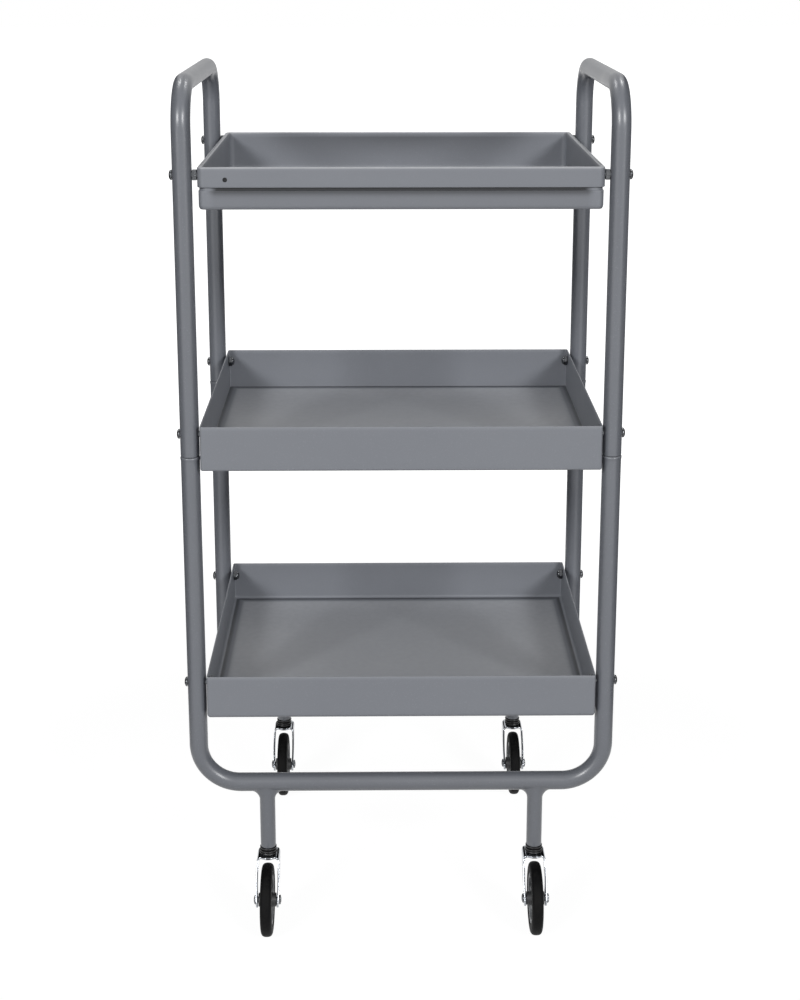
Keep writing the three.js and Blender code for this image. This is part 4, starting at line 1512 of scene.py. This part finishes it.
SIDES = {"left": -1, "right": 1}


def soft_box(name, place, size, power):
    """An area light aimed at the trolley, which the camera doesn't see."""
    light = bpy.data.lights.new(name, "AREA")
    light.shape = "RECTANGLE"
    light.size, light.size_y = size
    light.energy = power
    lamp = bpy.data.objects.new(name, light)
    lamp.location = place
    lamp.rotation_euler = (AIM - lamp.location).to_track_quat("-Z", "Y").to_euler()
    lamp.visible_camera = False
    bpy.context.scene.collection.objects.link(lamp)
    return lamp


def board(name, front, rear, foot, level):
    """An upright board of even brightness between two (x, y, top), which only reflections show."""
    (x0, y0, top0), (x1, y1, top1) = front, rear
    made = flat_mesh(name, [(x0, y0, foot), (x1, y1, foot), (x1, y1, top1), (x0, y0, top0)])
    material, wire, _ = new_finish(f"{name}_cloth")
    cloth = wire.node("ShaderNodeEmission", None, {"Color": WHITE, "Strength": level})
    wire.node("ShaderNodeOutputMaterial", None, {"Surface": cloth})
    made.data.materials.append(material)
    for ray in ("camera", "diffuse", "shadow", "transmission"):
        setattr(made, f"visible_{ray}", False)


def on_side(sign, place):
    """A place on the right, or with a sign of -1 its mirror image on the left."""
    return (sign * place[0], *place[1:])


for side, sign in SIDES.items():
    soft_box(f"{side}_box", on_side(sign, KEY_AT), KEY_SIZE, KEY_POWER)
    low = soft_box(f"low_{side}_box", on_side(sign, LOW_AT), LOW_SIZE, LOW_POWER)
    high = soft_box(f"high_{side}_box", on_side(sign, HIGH_AT), HIGH_SIZE, HIGH_POWER)
    low.visible_diffuse = high.visible_diffuse = False
    fill = soft_box(f"{side}_fill", on_side(sign, SIDE_FILL_AT), FILL_SIZE, SIDE_FILL_POWER)
    fill.visible_glossy = False
    flag_ends = on_side(sign, FLAG_FRONT), on_side(sign, FLAG_REAR)
    board(f"{side}_flag", *flag_ends, FLAG_FOOT, BLACK)
    card_ends = on_side(sign, CARD_OUTER), on_side(sign, CARD_INNER)
    board(f"{side}_card", *card_ends, CARD_FOOT, PALE_GREY)
soft_box("rear_fill", REAR_FILL_AT, FILL_SIZE, REAR_FILL_POWER).visible_glossy = False
lamps = [item.name for item in bpy.context.scene.objects if item.type == "LIGHT"]
print(len(lamps), "lamps:", ", ".join(lamps))

# %% [markdown]
# ## The camera
#
# The photograph was taken from just in front, a little above the handles, with a lens that keeps
# uprights upright. These values come from matching the tray corners, posts and wheels of the CAD
# model to their places in the picture. A small vertical shift stands for the view camera's rising
# back.

# %% Camera
CAMERA_PLACE = (-19.2 * MM, -1731.4 * MM, 1006.4 * MM)
CAMERA_PITCH = 13.32
CAMERA_HEADING = 0.64
LENS = 60.58
SENSOR = 36.0
SHIFT_Y = -0.155

lens = bpy.data.cameras.new("photo_camera")
lens.lens = LENS
lens.sensor_width = SENSOR
lens.shift_y = SHIFT_Y
camera = bpy.data.objects.new("photo_camera", lens)
camera.location = CAMERA_PLACE
camera.rotation_euler = np.radians([90 - CAMERA_PITCH, 0, -CAMERA_HEADING]).tolist()
bpy.context.scene.collection.objects.link(camera)
bpy.context.scene.camera = camera
print("camera", [round(c, 3) for c in camera.location], "lens", LENS, "mm")
